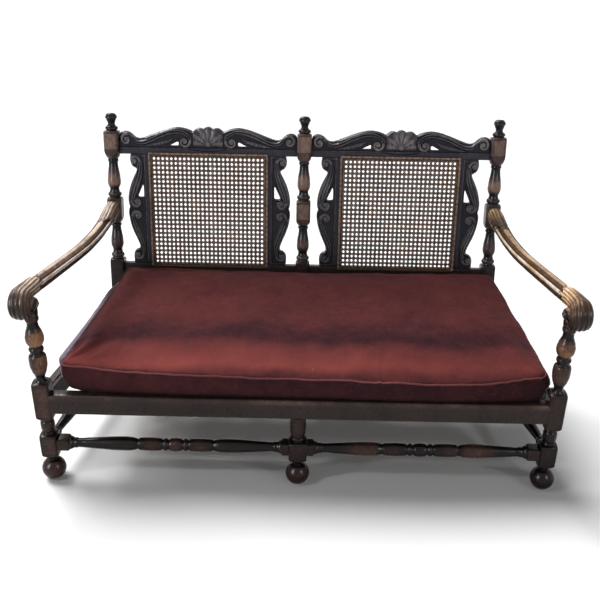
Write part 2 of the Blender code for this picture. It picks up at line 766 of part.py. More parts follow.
def build_arm(side, label, post, stile):
    arm = add_piece("arm_" + label, arm_mesh(side), worn_colour)
    x = side * (post_x + roll_outset)
    y = post_y - roll_forward
    half = roll_width / 2
    turn = Matrix.Rotation(math.pi / 2, 4, "Y")
    rings = []
    for share, size in roll_shares:
        place = Matrix.Translation((x + share * half, y, roll_height)) @ turn
        rings.append(section_ring(2 * roll_radius * size, False, place, roll_sides))
    combine(arm, add_guide("arm_roll_" + label, skin(bmesh.new(), rings)), "UNION")
    boss = rod_mesh(
        (x - side * (half + inner_boss_height), y, roll_height),
        (x + side * (half + outer_boss_height), y, roll_height), boss_radius,
    )
    combine(arm, add_guide("arm_boss_" + label, boss), "UNION")
    pad = rod_mesh(
        (side * post_x, post_y, post_top + joint_gap), (side * post_x, post_y, roll_height), arm_pad_radius
    )
    combine(arm, add_guide("arm_pad_" + label, pad), "UNION")
    pin_joint(
        "arm_%s" % post.name, post, arm, (side * post_x, post_y, post_top - overrun),
        (side * post_x, post_y, post_top + 2 * tenon_depth), pin_radius,
    )
    height = arm_low + arm_station_shares[0][1] * arm_rise
    face = stile_y + (height - rake_start) * math.tan(back_rake) - stile_stock / 2
    middle = side * (stile_x + arm_back_outset)
    tenon_joint(
        "arm_%s" % stile.name, arm, stile,
        (middle - arm_tenon_width / 2, face - overrun, height - arm_tenon_height / 2),
        (middle + arm_tenon_width / 2, face + tenon_depth, height + arm_tenon_height / 2),
    )
    return arm


# Webbing and cushion


def build_webbing():
    """Straps tacked into the rabbets: the long ones below, the cross straps over them."""
    low = seat_rail_top - rabbet_depth + joint_gap
    front = post_y - post_stock / 2 + front_rail_setback + front_rail_thickness
    back = stile_y - rail_thickness / 2
    for k in range(long_straps):
        y = front + (back - front) * (k + 1) / (long_straps + 1)
        near = y + strap_width / 2
        reach = side_rail_x(near) - rail_thickness / 2 + strap_bearing
        strap = box_mesh((-reach, y - strap_width / 2, low), (reach, near, low + strap_thickness))
        add_piece("webbing_long_%d" % (k + 1), strap, webbing_colour, cloth_roughness)
    low += strap_thickness + joint_gap
    for k in range(cross_straps):
        x = (k - (cross_straps - 1) / 2) * strap_pitch
        strap = box_mesh(
            (x - strap_width / 2, front - strap_bearing, low),
            (x + strap_width / 2, back + strap_bearing, low + strap_thickness),
        )
        add_piece("webbing_cross_%d" % (k + 1), strap, webbing_colour, cloth_roughness)


def bowed_side(start, end, bow):
    """Points between two corners of the cushion on a line that bows outwards."""
    along = end - start
    outward = Vector((along.y, -along.x)).normalized()
    points = []
    for step in range(1, cushion_side_steps):
        share = step / cushion_side_steps
        points.append(start.lerp(end, share) + outward * bow * 4 * share * (1 - share))
    return points


def cushion_outline(inset, lean):
    """Plan of the cushion: a rounded trapezium with a bowed front, its back edge moved back by the lean."""
    corners = (
        Vector((cushion_front_width / 2, 0)), Vector((cushion_back_width / 2, cushion_depth + lean)),
        Vector((-cushion_back_width / 2, cushion_depth + lean)), Vector((-cushion_front_width / 2, 0)),
    )
    bows = (cushion_side_bow, 0, cushion_side_bow, cushion_front_bow)
    radius = max(cushion_corner, inset)
    arcs = []
    for k, corner in enumerate(corners):
        across = math.copysign(radius, corner.x)
        along = radius if corner.y == 0 else -radius
        centre = corner + Vector((-across, along))
        arc = []
        for step in range(cushion_corner_steps + 1):
            angle = math.pi / 2 * (k - 1 + step / cushion_corner_steps)
            arc.append(centre + Vector((math.cos(angle), math.sin(angle))) * (radius - inset))
        arcs.append(arc)
    points = []
    for k, arc in enumerate(arcs):
        points += arc + bowed_side(arc[-1], arcs[(k + 1) % len(arcs)][0], bows[k])
    return points


def build_cushion():
    """A box cushion, thicker at the back, its sides drawn in below the seam and its top crowned."""
    bottom = seat_rail_top + joint_gap
    front = post_y + cushion_setback
    rings = []
    for inset, edge_share, crown_share in cushion_row_shares:
        lean = edge_share * cushion_back_edge * math.tan(back_rake)
        ring = []
        for point in cushion_outline(inset * cushion_welt, lean):
            along = min(1.0, max(0.0, point.y / cushion_depth))
            edge = cushion_front_edge + (cushion_back_edge - cushion_front_edge) * along
            height = bottom + edge * edge_share + cushion_crown * crown_share
            ring.append((point.x + cushion_shift, front + point.y, height))
        rings.append(ring)
    add_piece("seat_cushion", skin(bmesh.new(), rings), velvet_colour, cloth_roughness)


def build_back(stiles):
    """Crest rails, lower rails, carved slats and cane of both panels."""
    back = bpy.data.objects.new("back_plane", None)
    bpy.context.collection.objects.link(back)
    back.location = (0, stile_y, rake_start)
    back.rotation_euler = (-back_rake, 0, 0)
    for side, label, pair in ((-1, "left", stiles[:2]), (1, "right", stiles[1:])):
        middle = side * stile_x / 2
        crest = build_crest(middle, label, back, pair)
        rail = build_lower_rail(middle, label, back, pair)
        for way, place in ((-1, "outer" if side < 0 else "inner"), (1, "inner" if side < 0 else "outer")):
            build_slat(middle, way, "carved_slat_%s_%s" % (label, place), back, crest, rail)
        build_cane(middle, label, back)


def build_settee():
    clear_scene()
    posts = [build_front_post(-1, "left"), build_front_post(1, "right")]
    middle_leg = build_middle_leg()
    stiles = [build_stile(-stile_x, "left"), build_stile(0, "middle"), build_stile(stile_x, "right")]
    front_rail = build_front_rail(posts, middle_leg)
    build_side_rail(-1, "left", posts[0], stiles[0])
    build_side_rail(1, "right", posts[1], stiles[2])
    build_rear_rail(-1, "left", (stiles[1], stiles[0]))
    build_rear_rail(1, "right", (stiles[1], stiles[2]))
    build_cross_rail(front_rail, stiles[1])
    build_stretchers(posts, middle_leg, stiles)
    build_back(stiles)
    build_arm(-1, "left", posts[0], stiles[0])
    build_arm(1, "right", posts[1], stiles[2])
    build_webbing()
    build_cushion()


build_settee()
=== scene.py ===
import math

import bpy
import numpy as np
from mathutils import Matrix, Vector
from mathutils.kdtree import KDTree

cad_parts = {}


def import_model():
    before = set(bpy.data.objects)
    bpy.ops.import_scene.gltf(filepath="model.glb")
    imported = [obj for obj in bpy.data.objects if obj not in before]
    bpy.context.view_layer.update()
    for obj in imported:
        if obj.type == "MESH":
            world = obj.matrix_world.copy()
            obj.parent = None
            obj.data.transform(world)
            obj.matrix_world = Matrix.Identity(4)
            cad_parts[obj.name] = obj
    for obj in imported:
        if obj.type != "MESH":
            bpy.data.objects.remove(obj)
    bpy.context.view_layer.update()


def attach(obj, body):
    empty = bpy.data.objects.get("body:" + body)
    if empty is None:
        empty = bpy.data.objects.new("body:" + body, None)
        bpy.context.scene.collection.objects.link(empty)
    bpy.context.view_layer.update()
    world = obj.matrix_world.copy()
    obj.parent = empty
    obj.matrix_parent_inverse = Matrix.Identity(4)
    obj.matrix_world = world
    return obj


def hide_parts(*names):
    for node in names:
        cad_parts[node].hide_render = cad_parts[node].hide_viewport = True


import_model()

# Places and sizes, in metres, as in the model

POST_X = 0.6895
POST_Y = -0.292832
STILE_X = 0.6
STILE_Y = 0.263168
RAKE = math.radians(9.4)
RAKE_START = 0.3
KNEE = 0.215
SPLAY = 0.03
POST_STOCK = 0.046
MIDDLE_STOCK = 0.05
STILE_STOCK = 0.045
STRETCHER_HEIGHT = 0.119
STRETCHER_STOCK = 0.037
RAIL_TOP = 0.285
RAIL_BOTTOM = 0.228
PANEL_HALF = 0.2775
PANEL_FRONT = 0.012
OPENING = 0.352
CREST_LOW = 0.467
CREST_HEIGHT = 0.087
CREST_THICK = 0.026
CREST_LIP = 0.003
LOWER_RAIL = (0.066, 0.117)
SLAT_WIDTH = 0.0815
SLAT_THICK = 0.02
BACK = Matrix.Translation((0, STILE_Y, RAKE_START)) @ Matrix.Rotation(-RAKE, 4, "X")
JOINT_GAP = 0.0003
RAIL_FACE = POST_Y - POST_STOCK / 2 + 0.001
FRONT_RAIL_THICK = 0.037
RAIL_THICK = 0.032
STRAP_THICK = 0.0014
STRAP_WIDTH = 0.05
SIDES = ((-1, "left"), (1, "right"))
MM = 0.001


# Mesh helpers


def put(name, data):
    """A new object in the scene that shows data."""
    obj = bpy.data.objects.new(name, data)
    bpy.context.scene.collection.objects.link(obj)
    return obj


def new_mesh(name, verts, faces):
    mesh = bpy.data.meshes.new(name)
    mesh.from_pydata(np.asarray(verts, float).tolist(), [], faces)
    mesh.validate()
    mesh.update()
    return mesh


def paint(mesh, name, values):
    """Write one number for each of the mesh's points."""
    mesh.attributes.new(name, "FLOAT", "POINT").data.foreach_set("value", np.asarray(values, np.float32))


def vectors(items, key):
    """One vector property of all items, as rows."""
    out = np.zeros(len(items) * 3, np.float32)
    items.foreach_get(key, out)
    return out.reshape(-1, 3)


def add_mesh(name, verts, faces, material, nodes, wear_and_light, angle=50, body="frame"):
    """A visible piece with its wear; edges sharper than angle stay sharp. It rides a body and replaces nodes."""
    mesh = new_mesh(name, verts, faces)
    mesh.shade_smooth()
    if angle:
        mesh.set_sharp_from_angle(angle=math.radians(angle))
    paint(mesh, "wear_and_light", wear_and_light)
    obj = put(name, mesh)
    mesh.materials.append(material)
    if body:
        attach(obj, body)
    if nodes:
        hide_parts(*nodes)
    return obj


def grid_faces(rows, cols):
    """Quads between rows of points, the last column joined to the first."""
    r = np.arange(rows - 1)[:, None] * cols
    c = np.arange(cols)[None, :]
    d = (c + 1) % cols
    quads = np.stack([r + c, r + d, r + cols + d, r + cols + c], axis=-1).reshape(-1, 4)
    return [tuple(quad) for quad in quads.tolist()]


def tube(rings):
    """Points and faces of a closed skin through rings (rows, columns, 3)."""
    rows, cols = rings.shape[:2]
    verts = rings.reshape(-1, 3)
    faces = grid_faces(rows, cols)
    first, last = rings[0].mean(0), rings[-1].mean(0)
    verts = np.vstack([verts, first, last])
    n = rows * cols
    for j in range(cols):
        k = (j + 1) % cols
        faces.append((k, j, n))
        faces.append(((rows - 1) * cols + j, (rows - 1) * cols + k, n + 1))
    return verts, faces


def end_wear(wear_and_light):
    """The wear of a tube's rings, with none at the two points that close its ends."""
    return np.concatenate([np.ravel(wear_and_light), [0, 0]])


def in_back(points):
    """Points (across, depth, up) of the raked back, in the world's frame."""
    turn = np.array(BACK)
    return points @ turn[:3, :3].T + turn[:3, 3]


def joined(parts):
    """Several (points, faces, wear) as one."""
    verts, faces, wear_and_light, n = [], [], [], 0
    for v, f, w in parts:
        verts.append(v)
        wear_and_light.append(w)
        faces += [tuple(i + n for i in face) for face in f]
        n += len(v)
    return np.vstack(verts), faces, np.concatenate(wear_and_light)


def spline(points, steps):
    """Catmull-Rom line through points of any dimension."""
    p = np.asarray(points, float)
    e = np.vstack([2 * p[0] - p[1], p, 2 * p[-1] - p[-2]])
    t = np.linspace(0, 1, steps, endpoint=False)[:, None]
    out = []
    for a, b, c, d in zip(e, e[1:], e[2:], e[3:]):
        out.append(b + (c - a) * t / 2 + (a - 2.5 * b + 2 * c - d / 2) * t**2
                   + (1.5 * (b - c) + (d - a) / 2) * t**3)
    out.append(p[-1:])
    return np.vstack(out)


def monotone(xs, ys, at):
    """Monotone cubic through (xs, ys), without overshoot."""
    xs, ys, at = np.asarray(xs, float), np.asarray(ys, float), np.asarray(at, float)
    h = np.diff(xs)
    s = np.diff(ys) / h
    m = np.zeros(len(xs))
    both = s[:-1] * s[1:] > 0
    w1, w2 = 2 * h[1:] + h[:-1], h[1:] + 2 * h[:-1]
    with np.errstate(divide="ignore", invalid="ignore"):
        inner = (w1 + w2) / (w1 / s[:-1] + w2 / s[1:])
    m[1:-1] = np.where(both, inner, 0)
    m[0], m[-1] = s[0], s[-1]
    i = np.clip(np.searchsorted(xs, at) - 1, 0, len(h) - 1)
    t = unit((at - xs[i]) / h[i])
    return ((2 * t**3 - 3 * t**2 + 1) * ys[i] + (t**3 - 2 * t**2 + t) * h[i] * m[i]
            + (3 * t**2 - 2 * t**3) * ys[i + 1] + (t**3 - t**2) * h[i] * m[i + 1])


def unit(x):
    """x kept between 0 and 1."""
    return np.clip(x, 0, 1)


def ease(x):
    """x kept between 0 and 1, with a soft start and end."""
    x = unit(x)
    return x * x * (3 - 2 * x)


def bell(x, width):
    """A bump of height 1 at 0."""
    return np.exp(-(x / width) ** 2)


def wave(x):
    """A cosine between 0 and 1."""
    return 0.5 + 0.5 * np.cos(x)


def directions(rows):
    """Each row as a direction of length 1."""
    return rows / np.linalg.norm(rows, axis=1)[:, None]


def run_along(points):
    """Length along a line at each of its points."""
    return np.concatenate([[0], np.cumsum(np.linalg.norm(np.diff(points, axis=0), axis=1))])


def at_lengths(points, run, at):
    """The line's points at the lengths at, where run is the length at each of its own."""
    return np.stack([np.interp(at, run, column) for column in points.T], axis=1)


# Turned work

TURNED_SIDES = 64
ANGLES = (np.arange(TURNED_SIDES) + 0.5) * math.tau / TURNED_SIDES
TOWARD_FRONT = -math.pi / 2
TURNED_STEP = 0.0009
STRETCHER_STEP = 0.0011
UNCUT = 0.9  # a turned radius above this leaves a block square
CORNER_BLEND = 0.0012
FACE_WEAR = 0.7 + 0.3 * (np.abs(np.cos(2 * ANGLES)) > 0.35)  # a block's corners are rubbed less than its faces


def turning(start, *moves):
    """Heights and radii in metres along a turned profile. start is (height, diameter); a move is
    (kind, height, diameter, extra): s an S-curve, l a line, b a bead that swells by extra, c a cove sunk by it."""
    z, d = start
    heights, sizes = [z], [d]
    for kind, to, size, *extra in moves:
        n = max(4, int(abs(to - z) / TURNED_STEP))
        t = np.linspace(0, 1, n + 1)[1:]
        line = d + (size - d) * ((1 - np.cos(math.pi * t)) / 2 if kind == "s" else t)
        if kind == "b":
            line = line + extra[0] * np.sqrt(np.maximum(0, 1 - (2 * t - 1) ** 2))
        if kind == "c":
            line = line - extra[0] * np.sin(math.pi * t)
        heights += (z + (to - z) * t).tolist()
        sizes += line.tolist()
        z, d = to, size
    return heights, [s / 2 for s in sizes]


def block_radii(z, low, high, stock, dome, cone=None):
    """Turned radius that leaves a square block standing between two heights, with domed shoulders, or with a cone
    (length, radius at its tip, power) below it."""
    corner = stock * 0.72

    def shoulder(reach):
        t = unit(reach / dome)
        radius = stock * 0.36 + (corner - stock * 0.36) * np.sqrt(1 - (1 - t) ** 2)
        return np.where(reach > 0, np.where(reach > dome, 1.0, radius), 0)

    if cone is None:
        return shoulder(np.minimum(z - low, high - z))
    size, tip, power = cone
    reach = z - low
    flare = tip + (corner - tip) * unit(reach / size) ** power
    return np.minimum(np.where(reach > size, 1.0, flare), shoulder(high - z))


def square_reach(half, power=11.0):
    c, s = np.abs(np.cos(ANGLES)), np.abs(np.sin(ANGLES))
    return half / (c**power + s**power) ** (1 / power)


def standing(square, limit):
    """Radii of one section of a square block, cut off softly at the turned radius limit."""
    if limit > UNCUT:
        return square
    return -CORNER_BLEND * np.log(np.exp(-square / CORNER_BLEND) + math.exp(-limit / CORNER_BLEND))


def turned_rings(profiles, blocks, stock, gain, facing=TOWARD_FRONT):
    """Rows (height, radii, wear) from turned profiles and square blocks; the swellings are rubbed through, and every
    row is painted lighter on the side towards facing, a painted highlight, and darker round the other side, a painted
    shade.
    """
    rows = []
    # painted light: lighter towards facing, darker round the back
    lit_side = np.clip(0.45 + 0.65 * np.cos(ANGLES - facing), 0.22, 1)
    for heights, radii in profiles:
        near = np.convolve(np.pad(radii, 12, mode="edge"), np.ones(25) / 25, mode="valid")
        for z, r, wide in zip(heights, radii, near):
            rubbed = min(1.0, max(0.0, (2 * min(r, wide) / stock - 0.66) / 0.24)) ** 1.3
            rows.append((z, np.full(TURNED_SIDES, r), rubbed * 0.8 * gain(z) * lit_side))
    square = square_reach(stock / 2)
    for low, high, dome, *cone in blocks:
        first = cone[0] if cone else dome
        zs = np.concatenate([
            low + first * (1 - np.cos(np.linspace(0, math.pi / 2, 16))),
            np.linspace(low + first, high - dome, 12)[1:-1],
            high - dome * (1 - np.cos(np.linspace(math.pi / 2, 0, 12))),
        ])
        zs[0] += 1e-5
        zs[-1] -= 1e-5
        for z, limit in zip(zs, block_radii(zs, low, high, stock, dome, cone or None)):
            rows.append((z, standing(square, limit),
                         FACE_WEAR * lit_side * (0.62 if limit > UNCUT else 0.3) * gain(z)))
    return rows


def add_turned(name, rows, place, material, node):
    """The skin through rows (height, radii, wear), each put in its place."""
    rings, wear_and_light = [], []
    ring = np.stack([np.cos(ANGLES), np.sin(ANGLES), np.zeros(TURNED_SIDES)], axis=1)
    for z, r, w in sorted(rows, key=lambda row: row[0]):
        m = np.array(place(z))
        rings.append((ring * np.asarray(r)[:, None]) @ m[:3, :3].T + m[:3, 3])
        wear_and_light.append(np.broadcast_to(w, TURNED_SIDES))
    verts, faces = tube(np.array(rings))
    add_mesh(name, verts, faces, material, (node,), end_wear(wear_and_light), 60)


def standing_at(x, y):
    """Places that rise straight from the floor."""
    return lambda z: Matrix.Translation((x, y, z))


def ball_foot(radius=0.0334, flat=0.0012, neck=0.026):
    centre = radius - flat
    low, high = -math.asin(centre / radius), math.acos(neck / 2 / radius)
    angles = np.linspace(low, high, 30)
    heights = [0.0] + (centre + radius * np.sin(angles)).tolist()
    radii = [0.001] + (radius * np.cos(angles) * np.where(angles < low + 0.05, 0.985, 1)).tolist()
    return heights, radii


def front_post(side, label, material):
    foot = ball_foot()
    neck = turning((foot[0][-1] + 0.0003, 0.0262), ("c", 0.0745, 0.03, 0.002), ("b", 0.0795, 0.033, 0.002))
    waist = turning(
        (0.1525, 0.032), ("l", 0.1545, 0.03), ("b", 0.1615, 0.03, 6 * MM), ("s", 0.164, 0.0345),
        ("b", 0.193, 0.0345, 4.2 * MM), ("s", 0.1955, 0.03), ("b", 0.2025, 0.03, 6 * MM), ("l", 0.2045, 0.031),
    )
    arm = turning(
        (0.3205, 0.032), ("s", 0.327, 0.0248), ("s", 0.33, 0.0246), ("s", 0.36, 0.041),
        ("b", 0.4, 0.0425, 5.4 * MM), ("s", 0.4075, 0.0325), ("l", 0.412, 0.0318), ("l", 0.4128, 0.0338),
        ("b", 0.424, 0.0338, 5.2 * MM), ("l", 0.425, 0.033), ("s", 0.429, 0.0345),
        ("s", 0.44, 0.044), ("b", 0.462, 0.045, 4.2 * MM), ("s", 0.493, 0.029), ("l", 0.499, 0.0288),
        ("s", 0.503, 0.033), ("b", 0.513, 0.0345, 2.4 * MM), ("s", 0.5266, 0.0366),
    )
    blocks = ((0.08, 0.152, 0.011), (0.205, 0.32, 0.012))
    left = side < 0

    def gain(z):
        """The arm support is rubbed most, then the upper block, then the foot; the left post is painted lighter than
        the right, a painted light from the left.
        """
        if z > 0.322:
            return (1.0 if left else 0.66) * (1.05 if z > 0.43 else 0.3 if z > 0.402 else 0.62)
        if z > 0.2:
            return 0.6 if left else 0.22
        return 0.46 if left else 0.1

    # the painted lit side faces the front and turns in towards the seat, most on the left post
    rows = turned_rings((foot, neck, waist, arm), blocks, POST_STOCK, gain, TOWARD_FRONT + (0.75 if left else -0.2))
    add_turned("turned_front_post_" + label, rows, standing_at(side * POST_X, POST_Y), material,
               "front_post_" + label)


def middle_leg(material):
    foot = ball_foot()
    neck = turning((foot[0][-1] + 0.0003, 0.0262), ("c", 0.078, 0.032, 0.002), ("b", 0.0835, 0.036, 0.002))
    stem = turning(
        (0.1465, 0.036), ("l", 0.148, 0.033), ("b", 0.16, 0.035, 7 * MM), ("l", 0.1615, 0.0385),
        ("s", 0.17, 0.0415), ("b", 0.208, 0.0425, 2.6 * MM), ("s", 0.2275, 0.049),
    )
    rows = turned_rings((foot, neck, stem), ((0.084, 0.146, 0.011),), MIDDLE_STOCK, lambda _: 0.25)
    add_turned("turned_middle_leg", rows, standing_at(0, POST_Y), material, "middle_front_leg")


def stile_place(x):
    def place(s):
        """s is the distance above the start of the rake; below it the leg stands and then splays."""
        if s > 0.01:
            return BACK @ Matrix.Translation((x, 0, s))
        if s > -0.02:
            t = (s + 0.02) / 0.03
            lean = RAKE * t * t * (3 - 2 * t)
            y = 0.01 * math.sin(RAKE) * max(0.0, t) ** 2.6
            z = RAKE_START + s if s < 0 else RAKE_START + s * math.cos(lean)
            return Matrix.Translation((x, STILE_Y + y, z)) @ Matrix.Rotation(-lean, 4, "X")
        z = RAKE_START + s
        t = max(0.0, (KNEE - z) / KNEE)
        near = max(0.0, (KNEE + 0.02 - z) / 0.04)
        y = SPLAY * t if near > 1 else SPLAY * 0.02 / KNEE / 2 * near * near * 2
        return Matrix.Translation((x, STILE_Y + y, z))
    return place


def stile(x, label, most, material):
    low = turning(
        (0.1325, 0.033), ("l", 0.135, 0.032), ("b", 0.149, 0.032, 9.5 * MM), ("s", 0.159, 0.0293),
        ("s", 0.176, 0.0385), ("b", 0.19, 0.0385, 1.2 * MM), ("s", 0.235, 0.0283), ("l", 0.2385, 0.0285),
        ("b", 0.2465, 0.029, 5 * MM), ("l", 0.2495, 0.03),
    )
    mid = turning(
        (0.3305, 0.033), ("l", 0.332, 0.032), ("b", 0.346, 0.032, 10.5 * MM), ("s", 0.3555, 0.0288),
        ("s", 0.374, 0.04), ("b", 0.387, 0.04, 1.2 * MM), ("s", 0.438, 0.0284), ("l", 0.4415, 0.0284),
        ("b", 0.4505, 0.0295, 4 * MM), ("l", 0.4515, 0.03),
    )
    top = turning(
        (0.5385, 0.033), ("l", 0.54, 0.031), ("b", 0.5515, 0.027, 10 * MM), ("s", 0.557, 0.0215),
        ("l", 0.5595, 0.0222), ("s", 0.574, 0.0307), ("b", 0.5902, 0.017, 10.4 * MM),
    )
    dome = turning((0.5903, 0.016), ("s", 0.5906, 0.004))
    blocks = ((0.25, 0.33, 0.012, 0.022, 0.0158, 0.8), (0.452, 0.538, 0.01, 0.028, 0.0155, 0.8))
    beads = ((0.238, 0.25), (0.332, 0.35), (0.438, 0.452), (0.54, 0.556))

    def gain(s):
        """The stile is painted lighter the higher it is, partly wear and partly a painted highlight standing in for
        reflected windows, and hardly on its beads.
        """
        height = 1.35 if s > 0.34 else 1.0 if s > 0.24 else 0.7
        return most * height * (0.35 if any(a < s < b for a, b in beads) else 1)

    rows = turned_rings((low, mid, top, dome), blocks, STILE_STOCK, gain)
    square = square_reach(STILE_STOCK / 2)
    for s in np.concatenate([np.linspace(-0.3, -0.11, 16), np.linspace(-0.105, -0.02, 16),
                             np.linspace(-0.017, 0.012, 9), np.linspace(0.02, 0.119, 12)]):
        rows.append((s, square * (0.96 if s < -0.2999 else 1), FACE_WEAR * 0.15))
    zs = 0.1315 - 0.01 * (1 - np.cos(np.linspace(math.pi / 2, 0, 12)))
    for s, limit in zip(zs, block_radii(zs, -1, 0.1316, STILE_STOCK, 0.01)):
        rows.append((s, standing(square, limit), FACE_WEAR * 0.12))
    add_turned("turned_stile_" + label, rows, stile_place(x), material, "stile_" + label)


def stretcher(node, start, end, half, blocks, material):
    """A stretcher turned alike from both ends; half is (share of half the turned length, share of stock)."""
    stock = STRETCHER_STOCK
    start, end = Vector(start), Vector(end)
    axis = end - start
    turn = axis.to_track_quat("Z", "Y").to_matrix().to_4x4()
    length = axis.length
    turned = length - sum(blocks)
    t = np.linspace(0, 1, int(turned / 2 / STRETCHER_STEP))
    size = monotone(*zip(*half), t) * stock / 2
    middle = blocks[0] + turned / 2
    heights = np.concatenate([blocks[0] + t * turned / 2, middle + (1 - t[::-1][1:]) * turned / 2])
    radii = np.concatenate([size, size[::-1][1:]])
    rows = []
    for z, r in zip(heights, radii):
        rubbed = min(1.0, max(0.0, (2 * r / stock - 0.8) / 0.22)) ** 2 * (0.55 + 0.45 * math.sin(z * 19 + start.x * 7))
        rows.append((z, np.full(TURNED_SIDES, r), rubbed * 0.4))
    square = square_reach(stock / 2 * 0.985)
    for place, size in ((0, blocks[0]), (1, blocks[1])):
        if not size:
            continue
        dome = min(0.009, size * 0.45)
        t = np.linspace(0, size - 1e-4, 22)
        limit = block_radii(t, -1, size, stock, dome)
        for a, b in zip(t, limit):
            rows.append((a if place == 0 else length - a, standing(square, b), 0.12))
    base = Matrix.Translation(start) @ turn
    add_turned("turned_" + node, rows, lambda z: base @ Matrix.Translation((0, 0, z)), material, node)


FRONT_HALF = (
    (0.0, 1.02), (0.01, 1.0), (0.022, 0.9), (0.036, 0.8), (0.046, 0.77), (0.056, 0.8), (0.064, 0.78),
    (0.07, 0.7), (0.1, 0.7), (0.16, 0.77), (0.26, 0.87), (0.36, 0.97), (0.45, 1.04), (0.52, 1.05),
    (0.58, 1.0), (0.62, 0.88), (0.636, 0.8), (0.648, 0.78), (0.652, 0.88), (0.668, 0.93), (0.7, 0.97), (0.76, 1.0),
    (0.82, 0.97), (0.852, 0.93), (0.868, 0.88), (0.872, 0.78), (0.882, 0.76), (0.89, 0.9), (0.905, 0.95),
    (0.918, 0.9), (0.926, 0.78), (0.936, 0.77), (0.946, 0.9), (0.962, 0.97), (1.0, 1.03),
)
PLAIN_HALF = (
    (0.0, 0.56), (0.05, 0.58), (0.066, 0.62), (0.078, 0.8), (0.098, 0.86), (0.118, 0.8), (0.13, 0.66),
    (0.15, 0.65), (0.24, 0.72), (0.42, 0.88), (0.58, 0.96), (0.7, 0.93), (0.8, 0.76), (0.845, 0.69),
    (0.862, 0.72), (0.874, 0.88), (0.892, 0.94), (0.908, 0.88), (0.918, 0.76), (0.93, 0.78), (1.0, 1.0),
)


def stretchers(material):
    half_post, half_middle, half_stile = (stock / 2 + JOINT_GAP for stock in (POST_STOCK, MIDDLE_STOCK, STILE_STOCK))
    leg_y = STILE_Y + SPLAY * (1 - STRETCHER_HEIGHT / KNEE)
    slant = (POST_X - STILE_X) / (leg_y - POST_Y)
    room = STRETCHER_STOCK * SPLAY / KNEE
    h = STRETCHER_HEIGHT
    for side, label in SIDES:
        stretcher("front_stretcher_" + label, (side * (POST_X - half_post), POST_Y, h),
                  (side * half_middle, POST_Y, h), FRONT_HALF, (0.034, 0.021), material)
        front = half_post + STRETCHER_STOCK * slant / 2
        back = leg_y - POST_Y - half_stile - STRETCHER_STOCK * slant / 2 - room
        outer = POST_X + 0.007
        stretcher("side_stretcher_" + label, (side * (outer - slant * front), POST_Y + front, h),
                  (side * (outer - slant * back), POST_Y + back, h), PLAIN_HALF, (0, 0), material)
        stretcher("rear_stretcher_" + label, (side * (STILE_X - half_stile), leg_y, h),
                  (side * half_stile, leg_y, h), PLAIN_HALF, (0, 0), material)
    stretcher("centre_stretcher", (0, POST_Y + half_middle, h), (0, leg_y - half_stile - room, h), PLAIN_HALF,
              (0, 0), material)


# Carved boards in the plane of the back: (x across, z up), the front face towards -Y


def to_segment(x, z, ax, az, dx, dz):
    """The nearest place on a segment from (ax, az) by (dx, dz): its share of the way, and the offset from it."""
    t = unit(((x - ax) * dx + (z - az) * dz) / max(dx * dx + dz * dz, 1e-12))
    return t, x - ax - t * dx, z - az - t * dz


def outline_distance(points, outline):
    """Distance of points from a closed outline, above zero inside it."""
    a = np.asarray(outline, float)
    best = np.full(len(points), 1e9)
    inside = np.zeros(len(points), bool)
    x, z = points.T
    for (ax, az), (bx, bz) in zip(a, np.roll(a, -1, axis=0)):
        _, px, pz = to_segment(x, z, ax, az, bx - ax, bz - az)
        best = np.minimum(best, np.hypot(px, pz))
        if az != bz:
            inside ^= ((az > z) != (bz > z)) & (x < ax + (z - az) * (bx - ax) / (bz - az))
    return np.where(inside, best, -best)


def stroke(points, line):
    """Nearest place on a line of (x, z, half width): signed offset as a share of the half width, and arc length."""
    line = np.asarray(line, float)
    best = np.full(len(points), 1e9)
    offset = np.full(len(points), 9.0)
    along = np.zeros(len(points))
    x, z = points.T
    run = 0.0
    for (ax, az, aw), (bx, bz, bw) in zip(line, line[1:]):
        dx, dz = bx - ax, bz - az
        size = math.hypot(dx, dz)
        t, px, pz = to_segment(x, z, ax, az, dx, dz)
        share = np.hypot(px, pz) / (aw + (bw - aw) * t)
        near = share < best
        best = np.where(near, share, best)
        offset = np.where(near, share * np.where(dx * pz < dz * px, -1, 1), offset)
        along = np.where(near, run + t * size, along)
        run += size
    return offset, along


def spiral(cx, cz, r0, r1, start, turns, w0, w1, n=40):
    """A volute from its rim in to its eye; start is the angle at the rim and turns is signed."""
    t = np.linspace(0, 1, n)
    radius = r0 * (r1 / r0) ** t
    angle = start + math.tau * turns * t
    width = w0 + (w1 - w0) * t**0.8
    return np.stack([cx + radius * np.cos(angle), cz + radius * np.sin(angle), width], axis=1)


def ribbon_height(offset, reeds):
    """Height from 0 to 1 across a carved ribbon with raised reeds; 0 beside it."""
    a = np.abs(offset)
    crown = np.sqrt(unit(1 - unit(a) ** 4))
    reed = 1.0 if reeds == 1 else 0.5 + 0.5 * (-1) ** (reeds + 1) * np.cos(math.tau * reeds / 2 * a)
    return np.where(a < 1, crown * (0.25 + 0.75 * reed), 0)


def boss(x, z, cx, cz, size, low, rise):
    """Height of a round boss over its middle (cx, cz); 0 outside it."""
    d = np.hypot(x - cx, z - cz) / size
    return np.where(d < 1, low + rise * np.sqrt(unit(1 - d * d)), 0)


CELL = 0.0013
BOARD_EDGE = 0.0035
BACK_WEAR = 0.04


def board_distance(points, outline, holes):
    """Distance of points from the rim of a board with holes, above zero inside it."""
    inside = outline_distance(points, outline)
    for hole in holes:
        inside = np.minimum(inside, -outline_distance(points, hole))
    return inside


